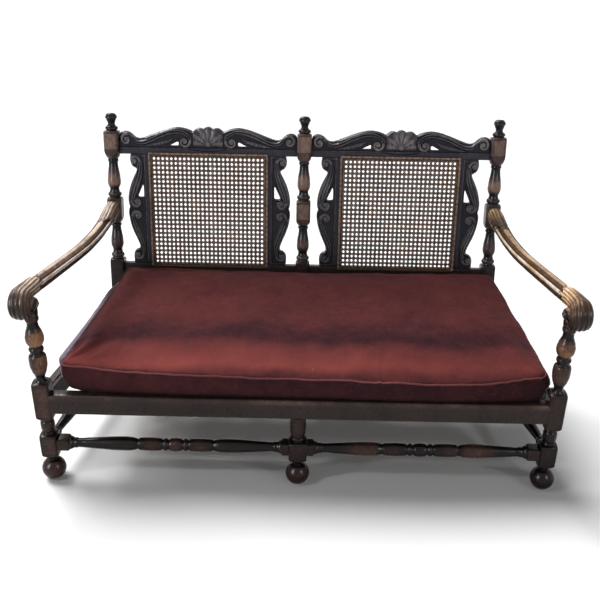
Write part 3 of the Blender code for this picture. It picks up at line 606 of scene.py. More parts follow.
def cut_grid(outline, holes):
    """Points (x, z) and faces of a grid cut off at a board's outline and holes."""
    outline = np.asarray(outline, float)
    lo, hi = outline.min(0) - 2 * CELL, outline.max(0) + 2 * CELL
    nx, nz = int((hi[0] - lo[0]) / CELL) + 1, int((hi[1] - lo[1]) / CELL) + 1
    xs, zs = lo[0] + np.arange(nx) * CELL, lo[1] + np.arange(nz) * CELL
    gx, gz = np.meshgrid(xs, zs, indexing="ij")
    inside = board_distance(np.stack([gx.ravel(), gz.ravel()], axis=1), outline, holes)
    inside = np.where(np.abs(inside) < CELL * 0.02, CELL * 0.02, inside).reshape(nx, nz)
    verts, faces, known = [], [], {}

    def corner(i, j):
        key = (i, j)
        if key not in known:
            known[key] = len(verts)
            verts.append((xs[i], zs[j]))
        return known[key]

    def crossing(p, q):
        key = (min(p, q), max(p, q))
        if key not in known:
            dp, dq = inside[p], inside[q]
            t = dp / (dp - dq)
            known[key] = len(verts)
            verts.append((xs[p[0]] + t * (xs[q[0]] - xs[p[0]]), zs[p[1]] + t * (zs[q[1]] - zs[p[1]])))
        return known[key]

    good = inside > 0
    count = good[:-1, :-1].astype(int) + good[1:, :-1] + good[1:, 1:] + good[:-1, 1:]
    for i, j in zip(*np.nonzero(count)):
        ring = ((i, j), (i + 1, j), (i + 1, j + 1), (i, j + 1))
        if count[i, j] == 4:
            faces.append(tuple(corner(*p) for p in ring))
            continue
        face = []
        for k in range(4):
            p, q = ring[k], ring[(k + 1) % 4]
            if good[p]:
                face.append(corner(*p))
            if good[p] != good[q]:
                face.append(crossing(p, q))
        if len(face) > 2:
            faces.append(tuple(face))
    return np.asarray(verts), faces


def carve(name, outline, holes, relief, thick, material, node, depth=0.0072):
    """A board with rounded rims and relief on its front; depth is the ground's, below the highest relief."""
    flat, faces = cut_grid(outline, holes)
    rim = np.clip(board_distance(flat, outline, holes), 0, None)
    height = unit(relief(flat, rim))
    t = unit(1 - rim / BOARD_EDGE)
    drop = BOARD_EDGE * (1 - np.sqrt(unit(1 - t * t)))
    front = -PANEL_FRONT + depth * (1 - height) + drop * 0.8
    back = -PANEL_FRONT + thick - drop * 0.45
    n = len(flat)
    both = in_back(np.vstack([np.stack([flat[:, 0], depths, flat[:, 1]], axis=1) for depths in (front, back)]))
    # a rim edge belongs to one face only, so its reverse isn't there
    edges = dict.fromkeys((a, b) for face in faces for a, b in zip(face, face[1:] + face[:1]))
    walls = [(b, a, a + n, b + n) for a, b in edges if (b, a) not in edges]
    every = faces + [tuple(v + n for v in reversed(face)) for face in faces] + walls
    wear_and_light = np.concatenate([unit(height * 1.25 - 0.27) ** 1.3, np.full(n, BACK_WEAR)])
    obj = add_mesh(name, both, every, material, (node,), wear_and_light)
    # the back is left plain, so it has the plain stain and none of the front's rubbing
    obj.data.materials.append(bpy.data.materials["board_back"])
    slots = np.zeros(len(obj.data.polygons), np.int32)
    slots[len(faces):2 * len(faces)] = 1
    obj.data.polygons.foreach_set("material_index", slots)


CREST_TOP = (
    (1.0, 0.62), (0.985, 0.73), (0.955, 0.79), (0.92, 0.8), (0.885, 0.77), (0.85, 0.69), (0.815, 0.595),
    (0.775, 0.56), (0.725, 0.59), (0.64, 0.69), (0.54, 0.81), (0.44, 0.915), (0.345, 0.965),
    (0.265, 0.935), (0.205, 0.875), (0.172, 0.83), (0.15, 0.88), (0.118, 0.945), (0.085, 0.95),
    (0.05, 0.925), (0.03, 0.975), (0.0, 1.0),
)
CREST_HOLE = ((0.337, 0.32), (0.385, 0.315), (0.43, 0.32), (0.4, 0.37), (0.365, 0.43), (0.34, 0.455), (0.333, 0.4))


def crest_relief(flat, rim, middle):
    u = np.abs(flat[:, 0] - middle)
    v = flat[:, 1] - CREST_LOW
    p = np.stack([u, v], axis=1)
    # the long ribbon: end volute, hollow, hump, inner volute
    outer = spiral(0.2535, 0.0445, 0.0185, 0.003, math.radians(100), -1.75, 5.2 * MM, 2.2 * MM)
    hump = spline([
        (0.253, 0.063, 5.2 * MM), (0.236, 0.052, 5.6 * MM), (0.22, 0.038, 6.6 * MM), (0.2, 0.037, 8 * MM),
        (0.178, 0.045, 8.6 * MM), (0.15, 0.058, 8.8 * MM), (0.12, 0.0685, 8.6 * MM), (0.093, 0.0715, 8 * MM),
        (0.072, 0.0655, 7.2 * MM), (0.058, 0.054, 6.2 * MM), (0.0555, 0.041, 5.4 * MM),
    ], 8)
    inner = spiral(0.073, 0.04, 0.0178, 0.003, math.radians(175), 1.7, 5.2 * MM, 2.2 * MM)
    height = np.zeros(len(u))
    for line, reeds in ((outer[::-1], 1), (hump, 2), (inner, 1)):
        off, _ = stroke(p, line)
        height = np.maximum(height, 0.1 + 0.9 * ribbon_height(off, reeds))
    for cx, cz in ((0.2535, 0.0445), (0.073, 0.04)):
        height = np.maximum(height, boss(u, v, cx, cz, 0.0052, 0.45, 0.55))
    # leaves that fill the hollow under the hump
    leaf_line = spline([(0.205, 0.0245, 2 * MM), (0.175, 0.029, 6 * MM), (0.145, 0.035, 8 * MM),
                        (0.122, 0.042, 6 * MM), (0.11, 0.05, 2 * MM)], 8)
    off, along = stroke(p, leaf_line)
    lobes = wave(math.tau * (along / 0.013 - np.abs(off) * 0.7))
    leaf = np.where(np.abs(off) < 1, 0.28 + 0.3 * (1 - off * off) + 0.22 * lobes * (1 - np.abs(off) ** 3), 0)
    height = np.maximum(height, leaf * (v > 0.0245))
    # the shell in the middle: a fan of lobes over a small seat, with a curl on either side and a button
    cz = 0.03
    reach = np.hypot(u, v - cz)
    fan = (u < 0.046) & (reach < 0.06) & (v > cz - 0.004)
    lobe = wave(np.arctan2(u, v - cz) / math.radians(27) * math.tau)
    rise = np.sqrt(unit(1 - ((reach - 0.03) / 0.03) ** 2))
    shell = 0.22 + (0.34 + 0.44 * lobe**0.7) * rise
    eye = np.hypot(u - 0.0265, v - 0.047)
    curl = np.where(eye < 0.0145, 0.35 + 0.6 * wave(eye / 0.0145 * 3 * math.pi), 0)
    height = np.where(fan, np.maximum(shell, curl), height)
    height = np.maximum(height, boss(u, v, 0, 0.033, 0.0085, 0.55, 0.45))
    # a plain band along the bottom with a fine bead and a swag
    swag = bell(v - 0.0115 - 2.2 * u * u, 0.0013) * (u < 0.062)
    height = np.where(v < 0.0225, 0.48 + 0.34 * bell(v - 0.02, 0.0014) - 0.35 * swag, height)
    height = np.maximum(height, 0.8 * bell(rim - 0.0042, 0.0018) * (v > 0.05))
    rough = 0.03 * np.sin(flat[:, 0] * 900) * np.sin(flat[:, 1] * 1100)
    return height + rough * (height < 0.3)


def smooth_hole(shape, place):
    """A closed line through the points of shape, each put in its place."""
    return spline([place(x, z) for x, z in shape + shape[:1]], 4)[:-1]


def crest(side, label, material):
    middle = side * STILE_X / 2
    half = PANEL_HALF + 0.0005

    def place(x, z):
        return middle + x * half, CREST_LOW + z * CREST_HEIGHT

    top = spline([(x * half, CREST_LOW + z * CREST_HEIGHT) for x, z in CREST_TOP], 6)
    outline = [(middle + x, z) for x, z in top] + [(middle - x, z) for x, z in reversed(top[:-1])]
    lip = OPENING / 2 - JOINT_GAP
    outline += [(middle - half, CREST_LOW), (middle - lip, CREST_LOW), (middle - lip, CREST_LOW - CREST_LIP)]
    outline += [(middle + lip, CREST_LOW - CREST_LIP), (middle + lip, CREST_LOW), (middle + half, CREST_LOW)]
    holes = [smooth_hole(CREST_HOLE, lambda x, z, way=way: place(way * x, z)) for way in (-1, 1)]
    carve("carved_crest_" + label, outline, holes, lambda p, rim: crest_relief(p, rim, middle), CREST_THICK,
          material, "crest_rail_" + label)


SLAT_EDGE = (
    (0.84, 0.0), (0.87, 0.035), (0.87, 0.075), (0.83, 0.108), (0.74, 0.13), (0.645, 0.138), (0.62, 0.16),
    (0.66, 0.2), (0.75, 0.25), (0.86, 0.31), (0.96, 0.385), (1.0, 0.45), (0.995, 0.495), (0.955, 0.522),
    (0.985, 0.55), (1.0, 0.59), (0.97, 0.65), (0.88, 0.725), (0.76, 0.79), (0.66, 0.835), (0.62, 0.862),
    (0.7, 0.878), (0.79, 0.893), (0.85, 0.925), (0.86, 0.962), (0.82, 1.0),
)
SLAT_SLOT = (
    (0.385, 0.617), (0.5, 0.613), (0.6, 0.62), (0.545, 0.655), (0.465, 0.695), (0.4, 0.725), (0.382, 0.7),
    (0.38, 0.655),
)


def slat_relief(x, z, rim):
    """x from the straight inner edge outwards, z from the foot up."""
    p = np.stack([x, z], axis=1)
    height = np.zeros(len(x))
    upper_curl = spiral(0.056, 0.33, 0.016, 0.003, math.pi, -1.5, 5.2 * MM, 2.6 * MM)
    upper = spline([
        (0.04, 0.33, 6.0 * MM), (0.0395, 0.308, 10.0 * MM), (0.0437, 0.286, 12.5 * MM),
        (0.052, 0.262, 13.5 * MM), (0.06, 0.24, 13.5 * MM), (0.0665, 0.219, 11.5 * MM),
        (0.07, 0.201, 8.0 * MM),
    ], 8)
    upper_eye = spiral(0.053, 0.199, 0.017, 0.003, 0.0, -1.5, 6.2 * MM, 2.6 * MM)
    lower_eye = spiral(0.052, 0.156, 0.0165, 0.003, 0.0, 1.5, 6.2 * MM, 2.6 * MM)
    lower = spline([
        (0.0685, 0.156, 7.0 * MM), (0.0685, 0.14, 9.5 * MM), (0.061, 0.116, 12.0 * MM),
        (0.052, 0.092, 12.0 * MM), (0.043, 0.07, 11.0 * MM), (0.0385, 0.048, 8.5 * MM),
        (0.04, 0.028, 6.0 * MM),
    ], 8)
    lower_curl = spiral(0.0555, 0.027, 0.0155, 0.003, math.pi, 1.5, 5.2 * MM, 2.6 * MM)
    for line in (upper, lower):
        off, _ = stroke(p, line)
        height = np.maximum(height, np.where(np.abs(off) < 1, 0.16 + 0.84 * ribbon_height(off, 3), 0))
    for line in (upper_curl, upper_eye, lower_eye, lower_curl):
        off, _ = stroke(p, line)
        on_coil = np.abs(off) < 1
        over = unit(1.35 - np.abs(off)) < 0.34
        coil = np.where(on_coil, 0.14 + 0.7 * ribbon_height(off, 1), 0)
        height = np.where(on_coil, np.maximum(coil, height * over), height)
    for cx, cz in ((0.056, 0.33), (0.053, 0.199), (0.052, 0.156), (0.0555, 0.027)):
        height = np.maximum(height, boss(x, z, cx, cz, 0.0046, 0.4, 0.5))
    band = x < 0.026
    height = np.where(band, 0.42 + 0.3 * bell(x - 0.0238, 0.0013), height)
    ends = (z < 0.008) | (z > 0.343)
    height = np.where(ends & ~band, np.maximum(height, 0.45), height)
    return np.maximum(height, 0.75 * bell(rim - 0.0036, 0.0016) * (x > 0.035))


def slat(side, way, label, material):
    inner = side * STILE_X / 2 + way * OPENING / 2
    low = LOWER_RAIL[1] - 0.0004
    height = CREST_LOW - LOWER_RAIL[1] + 0.0008

    def place(x, z):
        return inner + way * x * SLAT_WIDTH, low + z * height

    edge = spline([place(x, z) for x, z in SLAT_EDGE], 6)
    outline = [(inner, low)] + [tuple(q) for q in edge] + [(inner, low + height)]
    name = "slat_%s_%s" % (label, "outer" if way == side else "inner")
    carve("scrolled_" + name, outline, [smooth_hole(SLAT_SLOT, place)],
          lambda p, rim: slat_relief((p[:, 0] - inner) * way, p[:, 1] - low, rim), SLAT_THICK, material,
          "carved_" + name, 0.0068)


# Woven cane

UPRIGHTS, COURSES = 27, 25
PITCH_X = 0.0135
PITCH_Z = 0.01435
CANE_WIDTH = 0.0029
DIAGONAL_WIDTH = 0.0026
NET_DEPTH, BINDER_DEPTH, LOOP_DEPTH = 0.0011, 0.0016, 0.0012  # in front of the boards' faces
WEAVE = 0.00055
BINDER_STEP = 0.003
CANE_TWIN = 0.00152  # half the distance between the two strands of a pair
BINDER_HALF = 0.1842


def strand(path, shade, width, rise=0.00035, flat=0.00022):
    """A flat strip of cane along path (across, depth, up) in the back's plane, its face towards -Y, with one shade
    for each point of the path: points, faces and wear."""
    d = directions(np.gradient(path, axis=0))
    across = directions(np.stack([d[:, 2], np.zeros(len(d)), -d[:, 0]], axis=1))
    out = np.array([0, -1.0, 0])
    rings = np.stack([path + across * width / 2, path + out * rise, path - across * width / 2, path - out * flat],
                     axis=1)
    verts, faces = tube(rings)
    return verts, faces, np.concatenate([np.repeat(shade, 4), shade[[0, -1]]])


def add_cane(name, parts, material, nodes):
    verts, faces, shade = joined(parts)
    add_mesh(name, in_back(verts), faces, material, nodes, shade, 0)


def cane_net(label, middle, bottom, top, rng, material):
    """Pairs of uprights, pairs of crosswise strands that weave through them, and both diagonals on top."""
    cols = middle + (np.arange(UPRIGHTS) - UPRIGHTS // 2) * PITCH_X
    rows = (bottom + top) / 2 + (np.arange(COURSES) - COURSES // 2) * PITCH_Z
    left, right = middle - OPENING / 2 - 0.007, middle + OPENING / 2 + 0.007
    parts = []

    def lay(x, z, y, width=CANE_WIDTH):
        sag = 0.001 * np.sin((x - left) / (right - left) * math.pi) * np.sin((z - bottom) / (top - bottom) * math.pi)
        path = np.stack([x, -PANEL_FRONT - NET_DEPTH + y + sag, z], axis=1)
        tone = rng.uniform(0, 1)
        run = np.linspace(0, 1, len(path))
        ripple = 0.25 * np.sin(run * rng.uniform(5, 14) + rng.uniform(0, 6)) + 0.15 * rng.normal(size=len(path))
        parts.append(strand(path, unit(tone + ripple), width))

    for c in cols:
        for dx, y in ((-CANE_TWIN, 0.0003), (CANE_TWIN, -0.0001)):
            z = np.arange(bottom, top, PITCH_Z / 3)
            x = c + dx + rng.normal(0, 0.00007, len(z)).cumsum() * 0.3 + rng.normal(0, 0.0001)
            lay(x, z, np.full(len(z), y))
    for r in rows:
        for dz, flip in ((-CANE_TWIN, 1), (CANE_TWIN, -1)):
            x = np.arange(left, right, PITCH_X / 6)
            z = r + dz + rng.normal(0, 0.00005, len(x)).cumsum() * 0.3 + rng.normal(0, 0.0001)
            lay(x, z, 0.00005 + flip * WEAVE * np.sin((x - cols[0]) / PITCH_X * math.tau))
    slope = PITCH_Z / PITCH_X
    for way, lift in ((1, -0.0005), (-1, -0.00085)):
        for k in range(-UPRIGHTS, 2 * UPRIGHTS):
            x = np.arange(left, right, PITCH_X / 5)
            z = rows[0] + way * (x - cols[0]) * slope + (k + 0.5) * PITCH_Z
            keep = (z > bottom) & (z < top)
            if keep.sum() < 6:
                continue
            x, z = x[keep], z[keep]
            y = lift + 0.00032 * np.cos((x - cols[0]) / PITCH_X * math.tau)
            lay(x, z + rng.normal(0, 0.00016), y, DIAGONAL_WIDTH)
    add_cane("cane_net_" + label, parts, material, ("cane_panel_" + label,))


def cane_binder(label, middle, bottom, top, rng, material):
    """The binder that covers the holes, and the loops that hold it."""
    parts = []
    u0, u1 = middle - BINDER_HALF, middle + BINDER_HALF
    v0, v1 = bottom - 0.0015, top + 0.0015
    for start, end in (((u0, v0), (u0, v1)), ((u1, v0), (u1, v1)), ((u0, v0), (u1, v0)), ((u0, v1), (u1, v1))):
        (xa, za), (xb, zb) = start, end
        length = math.hypot(xb - xa, zb - za)
        n = int(length / BINDER_STEP)
        t = np.linspace(0, 1, n)
        path = np.stack([xa + (xb - xa) * t, np.full(n, -PANEL_FRONT - BINDER_DEPTH), za + (zb - za) * t], axis=1)
        path[:, 1] -= 0.0003 * np.sin(t * n * BINDER_STEP / PITCH_X * math.tau)
        worn = 0.15 if zb == za == v0 else 1.0  # the lower run is darker
        shade = worn * np.clip(1.6 + 0.5 * np.sin(t * n * 1.1) + 0.3 * rng.normal(size=n), 0, 2)
        parts.append(strand(path, shade, 0.0058, 0.0009, 0.0008))
        dx, dz = (xb - xa) / length, (zb - za) / length
        for k in range(int(length / PITCH_X)):
            s = (k + 0.5) * PITCH_X
            a = np.linspace(-1, 1, 7)
            tilt = 0.25 * a * 0.003
            depth = -PANEL_FRONT - LOOP_DEPTH - 0.0019 * np.sqrt(1 - (a * 0.96) ** 2)
            path = np.stack([xa + dx * s + a * dz * 0.0036 + tilt * dx, depth,
                             za + dz * s - a * dx * 0.0036 + tilt * dz], axis=1)
            parts.append(strand(path, np.full(len(a), rng.uniform(0.6, 2.0) * worn), 0.0021, 0.0003, 0.0003))
    add_cane("cane_binder_" + label, parts, material, ())


def cane_panel(side, label, material):
    panel = (label, side * STILE_X / 2, LOWER_RAIL[1] - 0.0055, CREST_LOW - CREST_LIP + 0.0045,
             np.random.default_rng(7 + side), material)
    cane_net(*panel)
    cane_binder(*panel)


# Planks of the frame

PLANK_STEP = 0.02


def rounded(corners, radii, steps=5, spacing=0.012):
    """A closed section (a, b, edge) with rounded corners, from (a, b) corners in order; edge is 1 on a rounding."""
    corners = [np.asarray(corner, float) for corner in corners]
    n = len(corners)

    def arms(i, before, after):
        """Directions from corner i to two others, and half the angle between them."""
        q = corners[i % n]
        a, b = ((p - q) / np.linalg.norm(p - q) for p in (before, after))
        return q, a, b, math.acos(max(-1, min(1, float(a @ b)))) / 2

    out = []
    for i in range(n):
        q, a, b, half = arms(i, corners[i - 1], corners[(i + 1) % n])
        size = radii[i]
        centre = q + (a + b) / np.linalg.norm(a + b) * size / math.sin(half)
        start, end = q + a * size / math.tan(half), q + b * size / math.tan(half)
        v0, v1 = start - centre, end - centre
        a0, a1 = math.atan2(v0[1], v0[0]), math.atan2(v1[1], v1[0])
        turn = (a1 - a0 + math.pi) % math.tau - math.pi
        for k in range(steps + 1):
            angle = a0 + turn * k / steps
            out.append((centre[0] + size * math.cos(angle), centre[1] + size * math.sin(angle), 1.0))
        q, c, _, half = arms(i + 1, end, corners[(i + 2) % n])
        stop = q + c * radii[(i + 1) % n] / math.tan(half)
        pieces = max(1, int(np.linalg.norm(stop - end) / spacing))
        out += [(*(end + (stop - end) * k / pieces), 0.0) for k in range(1, pieces)]
    return np.array(out)


def plank(name, section, place, length, material, node, seed):
    """section in (a, b, edge); place(s) gives origin, a's direction and b's direction at distance s."""
    n = max(2, int(length / PLANK_STEP))
    rings, wear_and_light = [], []
    drift = np.random.default_rng(seed).normal(0, 1, n).cumsum()
    for k in range(n + 1):
        origin, da, db = place(length * k / n)
        rings.append(np.asarray(origin) + section[:, 0:1] * np.asarray(da) + section[:, 1:2] * np.asarray(db))
        wear_and_light.append(section[:, 2] * (0.55 + 0.25 * math.sin(0.7 * drift[min(k, n - 1)])) + 0.1)
    verts, faces = tube(np.array(rings))
    add_mesh(name, verts, faces, material, (node,), end_wear(wear_and_light))


def seat_centre(y):
    """Half the distance between the middles of the side rails at y."""
    return POST_X + (STILE_X - POST_X) * (y - POST_Y) / (STILE_Y - POST_Y)


def rails(material, dark):
    top, low = RAIL_TOP, RAIL_BOTTOM
    rabbet = 2 * (STRAP_THICK + JOINT_GAP)
    pin = 0.002  # how far a rail runs into its block
    reach = POST_X - POST_STOCK / 2 + pin

    def rail_section(thick, ledge, top_radius):
        """An upright section with a rabbet for the straps along its inner upper edge."""
        return rounded([(0, low), (thick, low), (thick, top - rabbet), (ledge, top - rabbet), (ledge, top), (0, top)],
                       [0.0015, 0.0015, 0.0008, 0.0008, 0.0015, top_radius])

    front = rail_section(FRONT_RAIL_THICK, 0.027, 0.006)
    front[:, 2] = np.where((front[:, 0] < 0.006) & (front[:, 1] > top - 0.0065), 0.8, 0.12)
    plank("front_rail", front, lambda s: ((-reach + s, RAIL_FACE, 0), (0, 1, 0), (0, 0, 1)), 2 * reach, material,
          "front_seat_rail", 3)
    section = rail_section(RAIL_THICK, 0.022, 0.002)
    near, far = -PANEL_FRONT, -PANEL_FRONT + CREST_THICK
    lower = rounded([(near, LOWER_RAIL[0]), (far, LOWER_RAIL[0]), (far, LOWER_RAIL[1]), (near, LOWER_RAIL[1])],
                    [0.002, 0.002, 0.002, 0.003])
    section[:, 2] = lower[:, 2] = 0.1
    y0, y1 = POST_Y + POST_STOCK / 2 - pin, STILE_Y - STILE_STOCK / 2 + pin
    inner, outer = STILE_STOCK / 2 - pin, STILE_X - STILE_STOCK / 2 + pin
    y_axis, z_axis, base = (np.array(BACK.col[i][:3]) for i in (1, 2, 3))
    for side, label in SIDES:
        start = side * STILE_X / 2 - PANEL_HALF - pin
        plank("side_rail_" + label, section,
              lambda s, side=side: ((side * (seat_centre(y0 + s) + RAIL_THICK / 2), y0 + s, 0), (-side, 0, 0),
                                    (0, 0, 1)),
              y1 - y0, material, "side_seat_rail_" + label, 5 + side)
        plank("rear_rail_" + label, section,
              lambda s, side=side: ((side * (inner + s), STILE_Y + RAIL_THICK / 2, 0), (0, -1, 0), (0, 0, 1)),
              outer - inner, dark, "rear_seat_rail_" + label, 9 + side)
        plank("lower_rail_" + label, lower,
              lambda s, start=start: (base + np.array((start + s, 0, 0)), y_axis, z_axis),
              2 * PANEL_HALF + 2 * pin, material, "lower_back_rail_" + label, 13 + side)
    cross = rounded([(-0.017, low), (0.017, low), (0.017, top - 0.023), (-0.017, top - 0.023)], [0.002] * 4)
    c0 = RAIL_FACE + FRONT_RAIL_THICK - pin
    plank("cross_bearer", cross, lambda s: ((0, c0 + s, 0), (1, 0, 0), (0, 0, 1)), y1 - c0, dark, "seat_cross_rail", 17)


# Webbing under the cushion


def webbing(material):
    """Four straps along the seat, and ten across it that pass over and under them."""
    thick, half = STRAP_THICK, STRAP_WIDTH / 2
    low = RAIL_TOP - 2 * (thick + JOINT_GAP) + JOINT_GAP
    high = low + thick + JOINT_GAP
    front, back = RAIL_FACE + FRONT_RAIL_THICK, STILE_Y - RAIL_THICK / 2
    nailed = 0.008  # how far a strap lies on its rail
    long_y = [front + (back - front) * (k + 1) / 5 for k in range(4)]
    a = np.linspace(-1, 1, 15)
    edge = 1 - 0.12 * np.abs(a) ** 6
    over = np.concatenate([np.stack([a, edge], 1), np.stack([a[::-1], -edge], 1)])
    still = np.ones(len(over))

    def strap(kind, k, rings):
        verts, faces = tube(np.array(rings))
        add_mesh("webbing_%s_strap_%d" % (kind, k + 1), verts, faces, material, ("webbing_%s_%d" % (kind, k + 1),),
                 np.full(len(verts), 0.5))

    for k, y in enumerate(long_y):
        reach = seat_centre(y + half) - RAIL_THICK / 2 + nailed
        strap("long", k, [np.stack([still * x, y + over[:, 0] * half * 0.985 + 0.0012 * math.sin(x * 40 + k) * 0.4,
                                    low + thick / 2 + over[:, 1] * thick / 2], axis=1)
                          for x in np.arange(-reach, reach, 0.006)])
    for k in range(10):
        x = (k - 4.5) * STILE_X * 2 / 10
        rings = []
        for y in np.arange(front - nailed, back + nailed, 0.004):
            dip = max(float(ease(1 - (abs(y - at) - half) / 0.018)) if (j + k) % 2 else 0.0
                      for j, at in enumerate(long_y))
            z = high + thick / 2 - dip * (2 * thick + 0.0009)
            rings.append(np.stack([x + over[:, 0] * half * 0.985, still * y, z + over[:, 1] * thick / 2], axis=1))
        strap("cross", k, rings)


# Arms

ROLL_X, ROLL_Y, ROLL_Z, ROLL_RADIUS = 0.691, POST_Y - 0.038, 0.5715, 0.045
ARM_START = 0.2885
ARM_RUN = ARM_START - ROLL_Y
ARM_STEP = 0.0018
HALF_POINTS = 57
DRUM_EDGE, KNOB_RADIUS = 0.0075, 0.02
DRUM_ANGLES = np.arange(72) * math.tau / 72
MOULDING = (
    (0.0, 13.5), (3.6, 13.3), (5.4, 12.8), (6.4, 12.1), (13.0, 8.5), (13.6, 7.6), (14.6, 6.6), (15.8, 6.2), (17.0, 6.6),
    (18.6, 6.9), (20.4, 5.8), (21.0, 3.8), (20.7, 1.4), (19.5, 0.0), (19.2, -0.8), (20.0, -2.0), (20.2, -4.6),
    (19.0, -8.4), (15.6, -11.5), (11.0, -13.1), (5.0, -13.5), (0.0, -13.5),
)
FULL = (
    (0.0, 13.5), (4.0, 13.3), (8.0, 12.6), (12.0, 11.2), (15.2, 9.0), (17.6, 6.2), (19.4, 3.4), (20.4, 0.8),
    (20.9, -1.8), (20.8, -4.2), (20.0, -6.8), (18.4, -9.4), (15.4, -11.6), (11.0, -12.9), (5.0, -13.4), (0.0, -13.5),
)


def even(points, n):
    """The line through points, cut into n equal steps by length."""
    line = spline(points, 6)
    run = run_along(line)
    return at_lengths(line, run, np.linspace(0, run[-1], n))


def closed_section(half):
    """A section over all its round from its right half, both as shares of the half width and half height."""
    line = even([(x / 21.0, z / 13.5) for x, z in half], HALF_POINTS)
    return np.vstack([line, line[1:-1][::-1] * (-1, 1)])


def arm_line():
    """Lengths along the arm's top line, then round the roll, and (y, z, half width, height of the section) there."""
    line = [(ARM_START, 0.6176, 0.022, 0.0432), (ARM_START - 0.022, 0.612, 0.0226, 0.042),
            (ARM_START - 0.05, 0.6012, 0.0224, 0.0385), (ARM_START - 0.078, 0.5926, 0.0214, 0.034)]
    line += [(ARM_START - ARM_RUN * share, z, half, high) for share, z, half, high in (
        (0.17, 0.5864, 0.021, 0.0315), (0.24, 0.5815, 0.021, 0.0325), (0.36, 0.5795, 0.021, 0.0335),
        (0.46, 0.583, 0.021, 0.034), (0.56, 0.5885, 0.021, 0.035), (0.69, 0.5965, 0.0211, 0.036),
        (0.78, 0.6022, 0.0214, 0.037), (0.86, 0.608, 0.0226, 0.0375), (0.93, 0.6122, 0.024, 0.036))]
    for degrees in range(90, -171, -20):
        a = math.radians(degrees)
        t = (90 - degrees) / 260
        r = ROLL_RADIUS - 0.0022 - 0.012 * max(0.0, t - 0.55) / 0.45
        half = 0.0278 + 0.0006 * math.sin(t * 4) - 0.004 * max(0.0, t - 0.5)
        line.append((ROLL_Y - r * math.cos(a), ROLL_Z + r * math.sin(a), half, 0.0335 - 0.0175 * t))
    line = spline(line, 12)
    run = run_along(line[:, :2])
    at = np.arange(0, run[-1], ARM_STEP)
    return at, at_lengths(line, run, at)


def arm_wear_and_light(side, share, along, past, behind_end, rear_leaf, leaf, flutes, around, inside):
    """How far one section of the arm is rubbed, with painted highlights and shade laid over it. around runs from 0 on
    top to 1 below; past and behind_end are the distances past the tip of the roll's leaf and behind the end of the
    stile's leaf."""
    # the left arm's facet is painted lighter than the right's, painted light from the left
    levels = (0.3, 0.5, 1.05, 0.95) if side < 0 else (0.3, 0.5, 0.7, 0.4)
    facet = np.interp(share, (0.1, 0.25, 0.45, 0.9), levels)
    # on the inner side the bead is set far above 1, a painted highlight in near white
    inner = np.interp(around, (0, 0.085, 0.105, 0.215, 0.245, 0.3, 0.318, 0.335, 0.49, 0.515, 0.535, 0.56, 0.62,
                               0.7, 1.0),
                      (1.0, 0.9, 0.52 * facet, 0.46 * facet, 0.3 * facet, 0.3 * facet, 0.6, 1.65, 1.65, 0.12,
                       0.08, 0.2, 0.15, 0.08, 0.05))
    outer = np.interp(around, (0, 0.2, 0.25, 0.3, 0.34, 0.47, 0.51, 1.0),
                      (1.0, 0.9, 0.3, 0.25, 0.8, 0.8, 0.15, 0.08))
    # the roll's leaf is painted lightest where it starts, a painted highlight, and darker round the roll, a painted
    # shade
    shade = np.where(inside, np.interp(past, (0, 0.03, 0.06, 0.1, 0.15), (1.75, 1.45, 0.9, 0.62, 0.1)),
                     np.interp(past, (0, 0.025, 0.055, 0.1, 0.15), (1.55, 1.25, 0.4, 0.27, 0.05)))
    # the right arm's stile leaf is painted light near the stile and darker towards its end, a painted highlight
    behind = 0.52 + 0.34 * flutes if side < 0 else max(0.25, 1.2 - along / 0.075) * (0.55 + 0.55 * flutes ** 2)
    carved = np.where(rear_leaf > 0.5, behind, shade * (0.52 + 0.6 * flutes ** 1.8))
    # the carving is painted darker lower round the roll, a painted shade
    carved = carved * np.clip(1.45 - around * 1.5, 0.12, 1)
    worn = np.where(inside, inner, outer) * (1 - leaf) + leaf * carved
    # painted shadow: a dark line just before the tip of the roll's leaf and just behind the end of the stile's leaf
    worn = worn * (1 - 0.85 * np.maximum(bell(past + 0.004, 0.0042), bell(behind_end - 0.0036, 0.0034)))
    return np.clip(worn * (0.92 + 0.08 * math.sin(along * 23 + side)), 0, 1.8)


